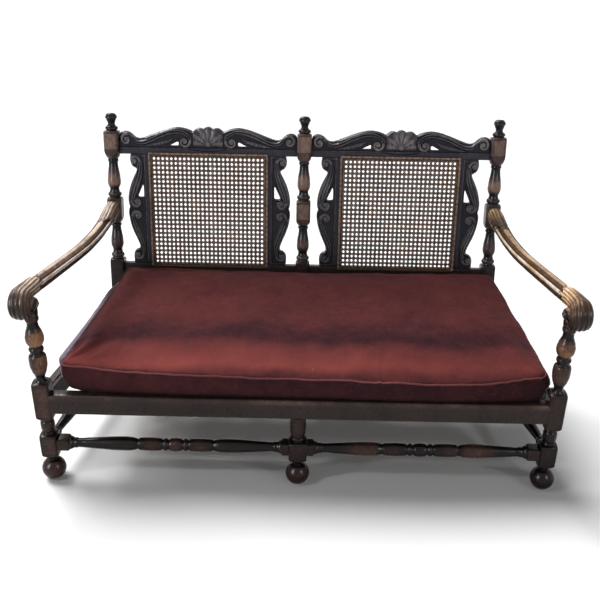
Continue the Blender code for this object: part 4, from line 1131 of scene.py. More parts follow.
def arm_bar(side):
    """The arm from the stile to the end of its roll: moulded, with a carved leaf at either end."""
    mould, full = closed_section(MOULDING), closed_section(FULL)
    around = np.concatenate([np.linspace(0, 1, HALF_POINTS), np.linspace(1, 0, HALF_POINTS)[1:-1]])
    sign = np.concatenate([np.ones(HALF_POINTS), -np.ones(HALF_POINTS - 2)])
    inside = sign * side < 0
    at, path = arm_line()
    tangent = directions(np.gradient(path[:, :2], axis=0))
    normal = np.stack([tangent[:, 1], -tangent[:, 0]], axis=1)  # outwards: up along the arm, forward on the roll
    begin_roll = at[np.argmax(path[:, 0] < ARM_START - ARM_RUN * 0.865)]
    # the leaf at the roll starts with a tip on top and runs down the sides in scallops
    tip = begin_roll + 0.026 * np.clip(around, 0, 0.5) ** 1.2 / 0.5 ** 1.2
    tip = tip + 0.011 * np.abs(np.sin(around * 17.0)) - 0.005
    rear_end = 0.09 - 0.05 * np.clip(around, 0, 0.6) + 0.009 * np.abs(np.sin(around * 12.0))
    x0 = STILE_X + 0.004
    rings, wear_and_light = [], []
    for along, (y, z, half, high), out, share in zip(at, path, normal, unit((ARM_START - path[:, 0]) / ARM_RUN)):
        front_leaf = ease((along - tip) / 0.004)
        rear_leaf = ease((rear_end - along) / 0.006)
        leaf = np.maximum(front_leaf, rear_leaf)
        section = (mould * (1 - leaf[:, None]) + full * leaf[:, None]) * (half, high / 2)
        flutes = wave(around * sign * math.tau * 8.0 + 0.35 * np.sin(along * 60))
        veins = wave((along / 0.0085 + around * 6.0) * math.tau)
        deep = np.where(front_leaf > 0, 0.0019, 0.0014)
        carved = -deep * (1 - flutes) ** 1.4 * unit(1.25 - around * 1.3)
        carved = carved - 0.0006 * (1 - veins) * ((front_leaf > 0) & (around > 0.25) & (around < 0.6))
        raised = leaf * (0.0036 - 0.0026 * ease((along - begin_roll - 0.03) / 0.05))
        raised = raised * np.clip(1.2 - 1.2 * np.maximum(around - 0.12, 0) / 0.35, 0.3, 1)
        length = np.hypot(section[:, 0], section[:, 1]) + 1e-9
        section = section + section / length[:, None] * (raised + carved * leaf)[:, None]
        x = side * (x0 + (ROLL_X - x0) * share) + section[:, 0]
        yz = np.array((y, z)) - out * high / 2 + section[:, 1:] * out
        rings.append(np.column_stack([x, yz]))
        wear_and_light.append(arm_wear_and_light(side, share, along, along - tip, along - rear_end, rear_leaf, leaf, flutes, around,
                             inside))
    return (*tube(np.array(rings)), end_wear(wear_and_light))


def arm_drum(side):
    """The roll's drum, its sides carved as volutes, the inner one with a knob."""
    rows, tones = [], []

    def face(way, reach, knob, shares):
        for t in shares:
            r = (ROLL_RADIUS - DRUM_EDGE) * t
            turn = np.log(np.maximum(t, 0.08)) / math.log(0.08)
            groove = wave(DRUM_ANGLES * way - turn * math.tau * 2.2)
            bulge = knob * math.sqrt(max(0.0, 1 - (r / KNOB_RADIUS) ** 2)) if r < KNOB_RADIUS else 0.0
            x = reach + bulge - 0.0026 * (1 - groove) * min(1, t * 4) * (0.3 if t > 0.97 else 1)
            rows.append(np.stack([way * side * x, r * np.cos(DRUM_ANGLES), r * np.sin(DRUM_ANGLES)], axis=1))
            tones.append(groove ** 3 * (0.62 if r < KNOB_RADIUS else 0.3))

    shares = np.linspace(1, 0, 30)
    face(-1, 0.016, 0.025, shares[::-1])
    face(1, 0.0205, 0.004, shares)
    return (*tube(np.array(rows) + np.array((side * ROLL_X, ROLL_Y, ROLL_Z))), end_wear(tones))


def arm(side, label, material):
    # the pad sits on the post
    verts, faces = tube(np.array([
        [(side * POST_X + r * math.cos(p), POST_Y + r * math.sin(p), z) for p in DRUM_ANGLES]
        for z, r in ((0.5272, 0.0178), (0.529, 0.0188), (0.534, 0.0186), (0.56, 0.0186))]))
    verts, faces, wear_and_light = joined([arm_bar(side), arm_drum(side), (verts, faces, np.zeros(len(verts)))])
    add_mesh("scrolled_arm_" + label, verts, faces, material, ("arm_" + label,), wear_and_light)


# Seat cushion

CUSHION_NX, CUSHION_NY = 131, 52  # points of a ring along the cushion's length and depth
FRONT_LEFT, FRONT_RIGHT, BACK_LEFT, BACK_RIGHT = -0.64, 0.664, -0.562, 0.602
CUSHION_LOW, CREASED_LOW, PIPING_LOW = 0.2862, 0.2858, 0.2855
CUSHION_DEPTH = 0.54
CUSHION_MIDDLE = 0.016


def smoothed(values):
    """A running mean of 13."""
    return np.convolve(np.pad(values, 6, mode="edge"), np.ones(13) / 13, mode="valid")


def left_edge(y, low=FRONT_LEFT, high=BACK_LEFT):
    """The left end's x at y, or another pair of values spread between the front and the back in the same way."""
    return np.interp(y, (POST_Y + 0.024, POST_Y + 0.543), (low, high))


def cushion_ring(front, back, bows):
    """A closed ring of points in four runs: front, right, back and left; the ends bow out by bows."""
    s = np.linspace(0, 1, CUSHION_NY)

    def end(a, b, bow):
        p = a + (b - a) * s[:, None]
        p[:, 0] += bow * 4 * s * (1 - s)
        return p

    left, right = (end(front[i], back[i], bow) for i, bow in zip((0, -1), bows))
    return np.vstack([front[:-1], right[:-1], back[::-1][:-1], left[::-1][:-1]])


def seam_rings():
    """The rings of the cushion's upper and lower seam."""
    x = np.linspace(FRONT_LEFT, FRONT_RIGHT, CUSHION_NX)
    y = POST_Y + np.interp(x, (FRONT_LEFT, -0.5, -0.25, 0.0, 0.25, 0.5, FRONT_RIGHT),
                           (0.024, 0.0, -0.014, -0.019, -0.02, -0.008, 0.018))
    z = np.interp(x, (FRONT_LEFT, -0.5, -0.3, -0.1, 0.08, 0.22, 0.38, 0.55, FRONT_RIGHT),
                  (0.358, 0.358, 0.355, 0.355, 0.353, 0.35, 0.343, 0.347, 0.356))
    front = np.stack([x, smoothed(y), smoothed(z)], 1)
    x = np.linspace(BACK_LEFT, BACK_RIGHT, CUSHION_NX)
    z = np.interp(x, (-0.565, -0.3, 0.0, 0.3, 0.605), (0.409, 0.402, 0.4, 0.402, 0.407))
    back = np.stack([x, np.full_like(x, POST_Y + 0.543), smoothed(z)], 1)
    top = cushion_ring(front, back, (0.008, 0.0))
    x = np.linspace(-0.634, 0.658, CUSHION_NX)
    y = POST_Y + smoothed(np.interp(x, (-0.634, -0.56, -0.372, 0.0, 0.404, 0.6, 0.658),
                                    (0.018, 0.004, -0.003, -0.006, -0.01, 0.0, 0.012)))
    front = np.stack([x, y, np.full_like(x, CUSHION_LOW)], 1)
    x = np.linspace(-0.566, 0.6, CUSHION_NX)
    back = np.stack([x, np.full_like(x, POST_Y + 0.52), np.full_like(x, CUSHION_LOW)], 1)
    low = cushion_ring(front, back, (-0.002, 0.002))
    top = round_corners(top, (0.02, 0.022, 0.02, 0.008))
    low = round_corners(low, (0.026, 0.022, 0.02, 0.012))
    low[:, 2] += 0.01 * np.exp(-np.linalg.norm(low[:, :2] - low[0, :2], axis=1) / 0.022)
    return top, low


def round_corners(ring, sizes):
    """Ease the four corners of a ring of points: front left, front right, back right, back left."""
    n = len(ring)
    right, back = CUSHION_NX - 1, CUSHION_NY - 1
    out = ring.copy()
    for c, size in zip((0, right, right + back, 2 * right + back), sizes):
        j = k = c
        while np.linalg.norm(ring[k % n] - ring[c]) < size:
            k += 1
        while np.linalg.norm(ring[j % n] - ring[c]) < size:
            j -= 1
        a, b = ring[j % n], ring[k % n]
        for i in range(k - j + 1):
            t = i / (k - j)
            out[(j + i) % n] = (1 - t) ** 2 * a + 2 * t * (1 - t) * ring[c] + t * t * b
    return out


def inward(ring, steps):
    """Rings that shrink from a closed ring towards its long middle line."""
    x0, x1 = ring[:, 0].min(), ring[:, 0].max()
    y0, y1 = ring[:, 1].min(), ring[:, 1].max()
    cy, half = (y0 + y1) / 2, (y1 - y0) / 2
    out = []
    for t in steps:
        q = ring.copy()
        tx = np.clip(ring[:, 0], x0 + half * 0.98, x1 - half * 0.98)
        q[:, 0] += (tx - ring[:, 0]) * t
        q[:, 1] += (cy - ring[:, 1]) * t
        out.append(q)
    return out


def noise_field(points, seed, scale):
    """Smooth noise between -1 and 1 from a few seeded waves."""
    rng = np.random.default_rng(seed)
    total = np.zeros(len(points))
    for _ in range(9):
        d = rng.normal(size=points.shape[1])
        d /= np.linalg.norm(d)
        f = math.tau / scale * rng.uniform(0.6, 1.6)
        total += np.sin(points @ d * f + rng.uniform(0, math.tau))
    return total / 4.5


QUICK_CROWN, FULL_CROWN = 0.021, 0.018  # the simulation fills out the rest
VOXEL = 0.0085
HELD_NEAR_SEAM, HELD_ABOVE_LOW = 0.009, 0.006
SWELL_FRAMES = 20
TOP_CAP, BOXING_CAP = 0.01, 0.0035  # the most that a point may move
SEAM_SHARE = 0.3
PIPING_POINTS = 900
BOXING_RINGS = (0, 0.1, 0.2, 0.3, 0.4, 0.5, 0.6, 0.7, 0.78, 0.84, 0.89, 0.93, 0.965, 1)


def top_rings(seam):
    """Rings of the top, in from its seam, higher to a crown and a little slack in the middle."""
    steps = np.concatenate([np.linspace(0, 0.12, 6)[1:], np.linspace(0.12, 1.0, 26)[1:]])
    y0, y1 = seam[:, 1].min(), seam[:, 1].max()
    front = seam[: CUSHION_NX - 1]
    rings = inward(seam, steps)
    for t, q in zip(steps, rings):
        zf = np.interp(q[:, 0], front[:, 0], front[:, 2])
        zb = np.interp(q[:, 0], (-0.565, -0.4, 0.605), (0.409, 0.4, 0.407))
        crown = FULL_CROWN * (1 - (1 - min(1, t / 0.3)) ** 2.2)
        slack = 0.006 * bell(q[:, 1] - 0.02, 0.12) * min(1, t / 0.3)
        q[:, 2] = zf + (zb - zf) * ((q[:, 1] - y0) / (y1 - y0)) + crown - slack
    return rings


def boxing_rings(top, low):
    """Rings of the boxing, from the lower seam up to the upper one."""
    rings = []
    for t in BOXING_RINGS:
        q = low + (top - low) * t
        mid = math.sin(math.pi * t)
        d = q - np.array((CUSHION_MIDDLE, (top[:, 1].min() + top[:, 1].max()) / 2, 0))
        far = np.abs(d) > (0.55, 0.24, 1)
        q = q + np.sign(d) * far * mid * 0.0015
        # the ends swell past the seam: high up along the left, low at both front corners
        y = q[:, 1] - POST_Y
        along = ease((y - 0.018) / 0.05) * ease((0.24 - q[:, 1]) / 0.12)
        near = np.exp(-unit(y - 0.02) / 0.1)
        west = ease((-0.585 - q[:, 0] - 0.02 * y / CUSHION_DEPTH) / 0.035)
        east = ease((q[:, 0] - 0.595 + 0.02 * y / CUSHION_DEPTH) / 0.05)
        west = np.maximum(west, (q[:, 0] < -0.54) * along)
        east = np.maximum(east, (q[:, 0] > 0.585) * along)
        high = math.sin(math.pi * t ** 6.0) if t < 1 else 0.0
        over = ease((q[:, 2] - 0.316) / 0.012) * (1 - t) ** 0.5 * 1.5
        q[:, 0] -= west * (0.023 * high * along + 0.011 * mid * near)
        q[:, 0] += east * (0.006 * mid * along + 0.011 * over * near + 0.009 * mid * near)
        beside = (q[:, 2] < 0.322) & (q[:, 1] < POST_Y + POST_STOCK / 2 + 0.002)
        q[:, 0] = np.where(beside, np.minimum(q[:, 0], POST_X - POST_STOCK / 2 - 0.001), q[:, 0])
        rings.append(q)
    return rings


def close_middle(row, n, flip):
    """Faces that close a row of points along its middle line: a strip of quads and one face at either end."""
    base, right, back = row * n, CUSHION_NX - 1, CUSHION_NY - 1
    a = [base + i for i in range(right + 1)]
    b = [base + (2 * right + back - i) % n for i in range(right + 1)]
    faces = [(a[i], a[i + 1], b[i + 1], b[i]) for i in range(right)]
    faces.append(tuple(base + right + i for i in range(back + 1)))
    faces.append(tuple(base + (2 * right + back + i) % n for i in range(back + 1)))
    return [tuple(reversed(face)) for face in faces] if flip else faces


def crease(co, seam_low, seam_top):
    """Soft creases: puckers along the front seam and at the corners, and a slack top."""
    top = np.arange(len(co)) >= seam_top.start
    flat = co[:, :2]
    near_front = np.exp(-unit(co[:, 1] - (POST_Y - 0.02)) / 0.045)

    def lift_top(height):
        co[:, 2] += np.where(top, height, 0)

    lift_top(0.0016 * noise_field(flat, 3, 0.16) + 0.0007 * noise_field(flat, 4, 0.05))
    pucker = np.sin(co[:, 0] * 160 + 2.2 * noise_field(flat, 5, 0.2)) * 0.0007
    lift_top(pucker * near_front * unit(1 - near_front) * 2)
    corners = ((FRONT_LEFT, 0.024, 1, 0.0055, 0.0016), (FRONT_RIGHT, 0.02, -1, 0.0022, 0.0009))
    for cx, cy, way, folds, ridges in corners:
        dx, dy = (flat[:, 0] - cx) * way, flat[:, 1] - (POST_Y + cy)
        r, a = np.hypot(dx, dy), np.arctan2(dy, dx)
        fold = np.sin(a * 9.0 + 1.2 * np.sin(r * 30)) * bell(r - 0.09, 0.08) * ease(np.minimum(dx, dy) / 0.03)
        ridge = np.sin(a * 21.0 + 2.0 * np.sin(r * 45)) * bell(r - 0.075, 0.05) * ease(np.minimum(dx, dy) / 0.02)
        lift_top(folds * fold + ridges * ridge)
    across = co[:, 0] - 0.212
    pinch = bell(np.abs(across), 0.02) * near_front * np.cos(across * 260)
    lift_top(0.003 * pinch * unit((co[:, 2] - 0.346) / 0.006))
    box = (np.arange(len(co)) >= seam_low.start) & ~top
    ripple = noise_field(np.stack([co[:, 0], co[:, 2] * 0.4], 1), 8, 0.11)
    co[:, 1] += np.where(box & (co[:, 1] < POST_Y + 0.03), 0.0012 * ripple, 0)
    co[:, 2] = np.maximum(co[:, 2], CREASED_LOW)
    co[seam_top, 2] += 0.0012 * noise_field(co[seam_top, :2], 9, 0.22)


def build_cushion(velvet, piping, bloom):
    top_ring, low_ring = seam_rings()
    n = len(top_ring)
    under = inward(low_ring, [1.0, 0.8, 0.6, 0.4, 0.2, 0.06])
    rings = np.array(under + boxing_rings(top_ring, low_ring) + top_rings(top_ring))
    rows, low_row = len(rings), len(under)
    top_row = low_row + len(BOXING_RINGS) - 1
    seam_low, seam_top = (slice(row * n, (row + 1) * n) for row in (low_row, top_row))
    faces = grid_faces(rows, n) + close_middle(0, n, True) + close_middle(rows - 1, n, False)
    co = rings.reshape(-1, 3)
    mesh = new_mesh("velvet_cushion", co, faces)
    obj = put("velvet_cushion", mesh)
    co = swell(obj, co, seam_low, seam_top)
    crease(co, seam_low, seam_top)
    mesh.vertices.foreach_set("co", co.ravel().astype(np.float32))
    mesh.update()
    smooth_mesh(obj, velvet, bloom)
    rings = co.reshape(rows, n, 3)
    seams = []
    # the lower seam's piping is set at a low level, painted dark like the shaded boxing
    for row, name, size, out, material, level in ((top_row, "top", 0.0025, 0.0016, piping, 0.5),
                                                  (low_row, "bottom", 0.0026, -0.0008, velvet, 0.02)):
        away = directions(2 * rings[row] - rings[row + 1] - rings[row - 1])
        path = closed_even(rings[row] + away * out, PIPING_POINTS)
        if name == "bottom":
            path[:, 2] = np.maximum(path[:, 2], PIPING_LOW + size)
        seams.append(piping_tube("piping_" + name, path, size, material, level))
    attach(obj, "cushion")
    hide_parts("seat_cushion")
    for seam in seams:
        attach(seam, "cushion")


def tree_of(points):
    tree = KDTree(len(points))
    for i, p in enumerate(points):
        tree.insert(p, i)
    tree.balance()
    return tree


def swell(obj, rest, seam_low, seam_top):
    """Let the cushion fill out by cloth pressure, on an even copy, its seams and underside held, each move capped."""
    scene = bpy.context.scene
    remesh = obj.modifiers.new("even", "REMESH")
    remesh.mode, remesh.voxel_size = "VOXEL", VOXEL
    mesh = bpy.data.meshes.new_from_object(obj.evaluated_get(bpy.context.evaluated_depsgraph_get()))
    obj.modifiers.remove(remesh)
    pad = put("pad", mesh)
    start = vectors(mesh.vertices, "co")
    seams = tree_of(np.vstack([rest[seam_low], rest[seam_top]]))
    near = np.array([seams.find(p)[2] for p in start])
    held = np.nonzero((near < HELD_NEAR_SEAM) | (start[:, 2] < rest[seam_low, 2].min() + HELD_ABOVE_LOW))[0]
    pad.vertex_groups.new(name="held").add(held.tolist(), 1.0, "REPLACE")
    cloth = pad.modifiers.new("swell", "CLOTH")
    s = cloth.settings
    s.quality = 5
    s.mass = 0.35
    s.tension_stiffness = s.compression_stiffness = 18
    s.shear_stiffness = 8
    s.bending_stiffness = 3
    s.use_pressure = True
    s.uniform_pressure_force = 4
    s.effector_weights.gravity = 0
    s.vertex_group_mass = "held"
    cloth.collision_settings.use_collision = False
    for f in range(1, SWELL_FRAMES + 1):
        scene.frame_set(f)
    shape = pad.evaluated_get(bpy.context.evaluated_depsgraph_get()).to_mesh()
    swollen = vectors(shape.vertices, "co") - start
    scene.frame_set(1)
    tree = tree_of(start)
    moved = np.zeros_like(rest)
    for k in range(seam_low.start, len(rest)):
        close = tree.find_n(rest[k], 5)
        share = np.array([1 / (c[2] + 0.003) for c in close])
        moved[k] = share @ swollen[[c[1] for c in close]] / share.sum()
    moved[seam_low] = 0
    moved[seam_top] *= SEAM_SHARE
    bpy.data.objects.remove(pad)
    bpy.data.meshes.remove(mesh)
    size = np.linalg.norm(moved, axis=1)
    cap = np.full(len(rest), TOP_CAP)
    cap[seam_low.start:seam_top.start] = BOXING_CAP
    moved *= (cap * np.tanh(size / cap) / np.maximum(size, 1e-9))[:, None]
    return rest + moved


def painted_pile_light(co):
    """Painted light on the pile: a lit band along the front of the top, a painted shadow of the back behind it, lighter
    towards the left end, the boxing painted darker, and painted shade in the fold at the left edge.
    """
    x, flat = co[:, 0], co[:, :2]
    y = co[:, 1] - POST_Y + 0.01 * noise_field(flat, 12, 0.5) + 0.006 * noise_field(flat, 13, 0.14)
    back = unit(y / CUSHION_DEPTH)
    seam = np.interp(x, (-0.64, -0.1, 0.22, 0.38, 0.55, 0.664), (0.358, 0.355, 0.35, 0.343, 0.347, 0.356))
    top = unit((co[:, 2] - (seam + 0.045 * back) + 0.001) / 0.004)
    reach = np.interp(x, (-0.6, 0.0, 0.4), (0.034, 0.042, 0.056))
    # a painted lit band along the front of the top
    band = ease((y + 0.012) / reach) * unit((0.13 - y) / 0.106) ** 1.2
    # a painted shadow of the back across the middle of the top
    dark = bell(y - 0.142, np.where(y > 0.142, 0.075, 0.045))
    # painted lighter towards the left end, the side the light comes from
    left = ease((0.05 - x) / 0.5)
    level = 0.23 + 0.06 * left + 0.04 * noise_field(flat, 14, 0.3) - 0.2 * dark
    # the boxing painted darker than the top, a painted shade on the upright sides
    level = level * top + (0.03 + 0.09 * left) * (1 - top)
    # painted shade in the fold along the left edge
    edge = left_edge(co[:, 1]) - 0.032 * back * (1 - back) * 0.25
    fold = 1 - np.exp(-unit(x - edge) / 0.009) * unit((y - 0.05) / 0.05)
    bright = 0.84 - 0.32 * ease(x / 0.5) + 0.12 * noise_field(flat, 15, 0.25)
    return unit(level * fold * (1 - band * top) + bright * band * top)


def smooth_mesh(obj, material, bloom):
    sub = obj.modifiers.new("smooth", "SUBSURF")
    sub.levels = sub.render_levels = 1
    mesh = bpy.data.meshes.new_from_object(obj.evaluated_get(bpy.context.evaluated_depsgraph_get()))
    obj.modifiers.clear()
    obj.vertex_groups.clear()
    obj.data = mesh
    mesh.shade_smooth()
    mesh.materials.clear()
    mesh.materials.append(material)
    mesh.materials.append(bloom)
    co = vectors(mesh.vertices, "co")
    # painted light and shade on the pile, kept as the point attribute
    paint(mesh, "wear_and_light", painted_pile_light(co))
    # the left end is painted pale just under its seam, a painted highlight, and its faces take a velvet with a strong
    # sheen that catches the light where it is seen edge on
    x, y, z = co.T
    pale = unit((left_edge(y) - x + 0.001) / 0.006) * ease((z - left_edge(y, 0.358, 0.409) + 0.03) / 0.024)
    pale *= unit((y - POST_Y - 0.02) / 0.05) * np.clip((0.13 - y) / 0.12, 0.12, 1)
    paint(mesh, "pale", pale)
    facing, at = vectors(mesh.polygons, "normal"), vectors(mesh.polygons, "center")
    slots = (at[:, 0] < left_edge(at[:, 1]) + 0.004) & (facing[:, 0] < -0.45)
    mesh.polygons.foreach_set("material_index", slots.astype(np.int32))


def closed_even(path, count):
    """The closed line through path, cut into count equal steps by length."""
    loop = np.vstack([path, path[:1]])
    run = run_along(loop)
    return at_lengths(loop, run, np.linspace(0, run[-1], count, endpoint=False))


def piping_tube(name, path, radius, material, level):
    """A closed cord of bias-cut cloth along a seam."""
    n, sides = len(path), 10
    ahead = directions(np.roll(path, -1, 0) - np.roll(path, 1, 0))
    across = directions(np.cross(ahead, (0, 0, 1.0)))
    other = np.cross(across, ahead)
    a = np.arange(sides) * math.tau / sides
    turn = np.arange(n) * math.tau / n
    phase = np.random.default_rng(5).uniform(0, 6)
    size = radius * (1 + 0.06 * np.sin(turn * 41 + phase) + 0.03 * np.sin(turn * 97))
    rings = (path[:, None] + (across[:, None] * np.cos(a)[None, :, None] + other[:, None] * np.sin(a)[None, :, None])
             * size[:, None, None])
    verts = rings.reshape(-1, 3)
    faces = grid_faces(n, sides)
    last = (n - 1) * sides
    faces += [(last + j, last + (j + 1) % sides, (j + 1) % sides, j) for j in range(sides)]
    # painted dark at the ends, darkest at the left end, a painted shadow where it lies in the fold; rubbed along the
    # front
    x, y, _ = verts.T
    shade = np.where(np.abs(y) < 0.24, np.where(x < 0, 0.02, 0.25), 0.62)
    shade = np.where(y < POST_Y + 0.034, level * (1 + 0.2 * np.sin(x * 9)), np.minimum(shade, level))
    return add_mesh(name, verts, faces, material, (), shade, 0, None)


# Materials


def nodes_of(name):
    """A new material with its node tree and shader."""
    material = bpy.data.materials.new(name)
    material.use_nodes = True
    tree = material.node_tree
    return material, tree, tree.nodes["Principled BSDF"]


def feed(tree, socket, value):
    """Link an output to a socket, or set a constant there; a colour is three numbers."""
    if hasattr(value, "links"):
        tree.links.new(value, socket)
    else:
        socket.default_value = (*value, 1) if socket.type == "RGBA" else value


def feeds(tree, node, **values):
    """Feed the inputs of node; a name's underscores stand for spaces."""
    for name, value in values.items():
        feed(tree, node.inputs[name.replace("_", " ")], value)


def add(tree, kind, **values):
    """A new node with its inputs fed and its properties set."""
    node = tree.nodes.new("ShaderNode" + kind)
    for key, value in values.items():
        if key in node.inputs.keys():
            feed(tree, node.inputs[key], value)
        else:
            setattr(node, key, value)
    return node


def object_space(tree):
    return add(tree, "TexCoord").outputs["Object"]


def noise(tree, vector, scale, detail, **values):
    return add(tree, "TexNoise", Vector=vector, Scale=scale, Detail=detail, **values).outputs["Fac"]


def painted(tree, name):
    return add(tree, "Attribute", attribute_name=name).outputs["Fac"]


def mix(tree, a, b, factor, blend="MIX"):
    node = add(tree, "Mix", data_type="RGBA", blend_type=blend)
    for i, value in ((0, factor), (6, a), (7, b)):
        feed(tree, node.inputs[i], value)
    return node.outputs[2]


def maths(tree, operation, a, b=0.5, clamp=False):
    node = add(tree, "Math", operation=operation, use_clamp=clamp)
    for socket, value in zip(node.inputs, (a, b)):
        feed(tree, socket, value)
    return node.outputs[0]


def ranged(tree, value, low, high, to_low=0.0, to_high=1.0):
    node = add(tree, "MapRange")
    feeds(tree, node, From_Min=low, From_Max=high, To_Min=to_low, To_Max=to_high, Value=value)
    return node.outputs["Result"]


def tinted(tree, base, factor):
    """base with its three channels times factor."""
    tint = add(tree, "CombineColor", Red=factor, Green=factor, Blue=factor)
    return mix(tree, base, tint.outputs[0], 1.0, "MULTIPLY")


def bumped(tree, shader, height, strength, distance):
    bumps = add(tree, "Bump", Strength=strength, Distance=distance, Height=height)
    feeds(tree, shader, Normal=bumps.outputs[0])


def wood(name, dark, mid, worn, wear_gain=1.0, shine=0.2, bare_and_gleam=None):
    """Old lacquered wood: nearly black in the hollows, red-brown on the faces, tan where it is rubbed, then a last pale
    colour past a level of 1.1, partly worn wood and partly a painted highlight.
    """
    material, tree, shader = nodes_of(name)
    coord = object_space(tree)
    stretch = add(tree, "Mapping", Scale=(1.0, 1.0, 0.22), Vector=coord)
    grain = noise(tree, stretch.outputs[0], 210.0, 6.0, Roughness=0.62)
    blotch = noise(tree, coord, 13.0, 4.0, Roughness=0.6)
    fine = noise(tree, coord, 75.0, 5.0, Roughness=0.7)
    level = maths(tree, "MULTIPLY", painted(tree, "wear_and_light"), wear_gain)
    patch = ranged(tree, blotch, 0.34, 0.66, 0.7, 1.2)
    speck = ranged(tree, fine, 0.35, 0.65, 0.84, 1.12)
    amount = maths(tree, "MULTIPLY", level, patch)
    amount = maths(tree, "MULTIPLY", amount, speck, bare_and_gleam is None)
    base = mix(tree, dark, mid, ranged(tree, amount, 0.0, 0.5))
    base = mix(tree, base, worn, ranged(tree, amount, 0.5, 1.0))
    if bare_and_gleam:
        base = mix(tree, base, bare_and_gleam, ranged(tree, amount, 1.1, 1.55))
    base = tinted(tree, base, ranged(tree, grain, 0.35, 0.68, 0.72, 1.16))
    rough = maths(tree, "ADD", ranged(tree, fine, 0.3, 0.7, shine - 0.04, shine + 0.08),
                  maths(tree, "MULTIPLY", amount, 0.1))
    feeds(tree, shader, Base_Color=base, Roughness=rough, Specular_IOR_Level=0.15)
    height = maths(tree, "ADD", maths(tree, "MULTIPLY", grain, 0.6), fine)
    bumped(tree, shader, height, 0.1, 0.0009)
    return material


def cane_material():
    material, tree, shader = nodes_of("split_cane")
    coord = object_space(tree)
    tone = painted(tree, "wear_and_light")
    blotch = noise(tree, coord, 9.0, 5.0, Roughness=0.6)
    fibre = noise(tree, coord, 480.0, 3.0)
    base = mix(tree, (0.1, 0.055, 0.032), (0.285, 0.172, 0.106), tone)
    base = mix(tree, base, (0.52, 0.4, 0.33), ranged(tree, tone, 1.0, 2.0))
    base = mix(tree, base, (0.105, 0.072, 0.06), ranged(tree, blotch, 0.46, 0.7, 0.0, 0.7))
    base = tinted(tree, base, ranged(tree, fibre, 0.3, 0.7, 0.75, 1.15))
    feeds(tree, shader, Base_Color=base, Roughness=ranged(tree, fibre, 0.3, 0.7, 0.38, 0.58),
          Specular_IOR_Level=0.15)
    bumped(tree, shader, fibre, 0.25, 0.0003)
    return material


def velvet_material(name, low, high, pale, sheen=0.1):
    """Cut pile, its colour spread from low to high by the painted light and shade on it."""
    material, tree, shader = nodes_of(name)
    coord = object_space(tree)
    blotch = noise(tree, coord, 17.0, 5.0, Roughness=0.6)
    rub = noise(tree, coord, 75.0, 6.0, Roughness=0.75)
    pile = noise(tree, coord, 1400.0, 2.0)
    lint = add(tree, "TexVoronoi", Scale=26.0, Vector=coord)
    painted_light = painted(tree, "wear_and_light")
    stir = maths(tree, "ADD", ranged(tree, blotch, 0.3, 0.7, -0.07, 0.07), ranged(tree, rub, 0.3, 0.7, -0.07, 0.07))
    # painted light: the high colour where the pile is painted lit, the low one where it is painted in shade
    base = mix(tree, low, high, maths(tree, "ADD", painted_light, stir, True))
    base = mix(tree, base, pale, ranged(tree, rub, 0.62, 0.85, 0.0, 0.35))
    # painted highlight: a pale lilac along the left end, where pale is set
    edge = painted(tree, "pale")
    painted_edge_highlight = maths(tree, "MULTIPLY", edge, ranged(tree, rub, 0.35, 0.65, 0.35, 0.95))
    base = mix(tree, base, (0.27, 0.235, 0.29), painted_edge_highlight)
    base = tinted(tree, base, ranged(tree, pile, 0.3, 0.7, 0.78, 1.18))
    dot = maths(tree, "LESS_THAN", lint.outputs["Distance"], 0.045)
    pick = add(tree, "SeparateColor", Color=lint.outputs["Color"])
    dot = maths(tree, "MULTIPLY", dot, maths(tree, "GREATER_THAN", pick.outputs[0], 0.9))
    base = mix(tree, base, (0.36, 0.2, 0.17), maths(tree, "MULTIPLY", dot, 0.7))
    feeds(tree, shader, Base_Color=base, Roughness=0.95, Specular_IOR_Level=0.12, Sheen_Weight=sheen,
          Sheen_Roughness=0.35, Sheen_Tint=(0.8, 0.62, 0.72))
    height = maths(tree, "ADD", maths(tree, "MULTIPLY", pile, 0.5), rub)
    bumped(tree, shader, height, 0.3, 0.001)
    return material


def jute_material():
    material, tree, shader = nodes_of("jute_webbing")
    coord = object_space(tree)
    warp, weft = (add(tree, "TexWave", Scale=230.0, Distortion=0.6, bands_direction=axis, Vector=coord).outputs["Fac"]
                  for axis in "XY")
    soil = noise(tree, coord, 16.0, 5.0)
    weave = maths(tree, "MULTIPLY", warp, weft)
    base = mix(tree, (0.06, 0.042, 0.026), (0.17, 0.12, 0.07), weave)
    base = mix(tree, base, (0.035, 0.026, 0.02), ranged(tree, soil, 0.4, 0.75, 0.0, 0.8))
    feeds(tree, shader, Base_Color=base, Roughness=0.92)
    bumped(tree, shader, weave, 0.6, 0.0006)
    return material


# Floor, light and camera

FLOOR_HALF = 60
FLOOR_GLOW = 0.05
WORLD_LIGHT = 0.08
CAMERA_TURN = (0.63, 26.67, 0.86)
CAMERA_PLACE = (0.02, -2.0968, 1.483)


def seen_directly(tree):
    """1 for what the camera, a mirror or glass sees."""
    path = add(tree, "LightPath").outputs
    mirrored = maths(tree, "ADD", path["Is Glossy Ray"], path["Is Transmission Ray"])
    return maths(tree, "ADD", path["Is Camera Ray"], mirrored, True)


def floor():
    corners = [(x * FLOOR_HALF, y * FLOOR_HALF, 0) for x, y in ((-1, -1), (1, -1), (1, 1), (-1, 1))]
    obj = put("floor", new_mesh("floor", corners, [(0, 1, 2, 3)]))
    material, tree, shader = nodes_of("pale_floor")
    feeds(tree, shader, Base_Color=(0.92, 0.92, 0.92), Roughness=0.9, Specular_IOR_Level=0.0)
    glow = add(tree, "Emission", Color=(1, 1, 1))
    feeds(tree, glow, Strength=maths(tree, "MULTIPLY", seen_directly(tree), FLOOR_GLOW))
    both = add(tree, "AddShader")
    for socket, value in zip(both.inputs, (shader.outputs[0], glow.outputs[0])):
        feed(tree, socket, value)
    feeds(tree, tree.nodes["Material Output"], Surface=both.outputs[0])
    obj.data.materials.append(material)


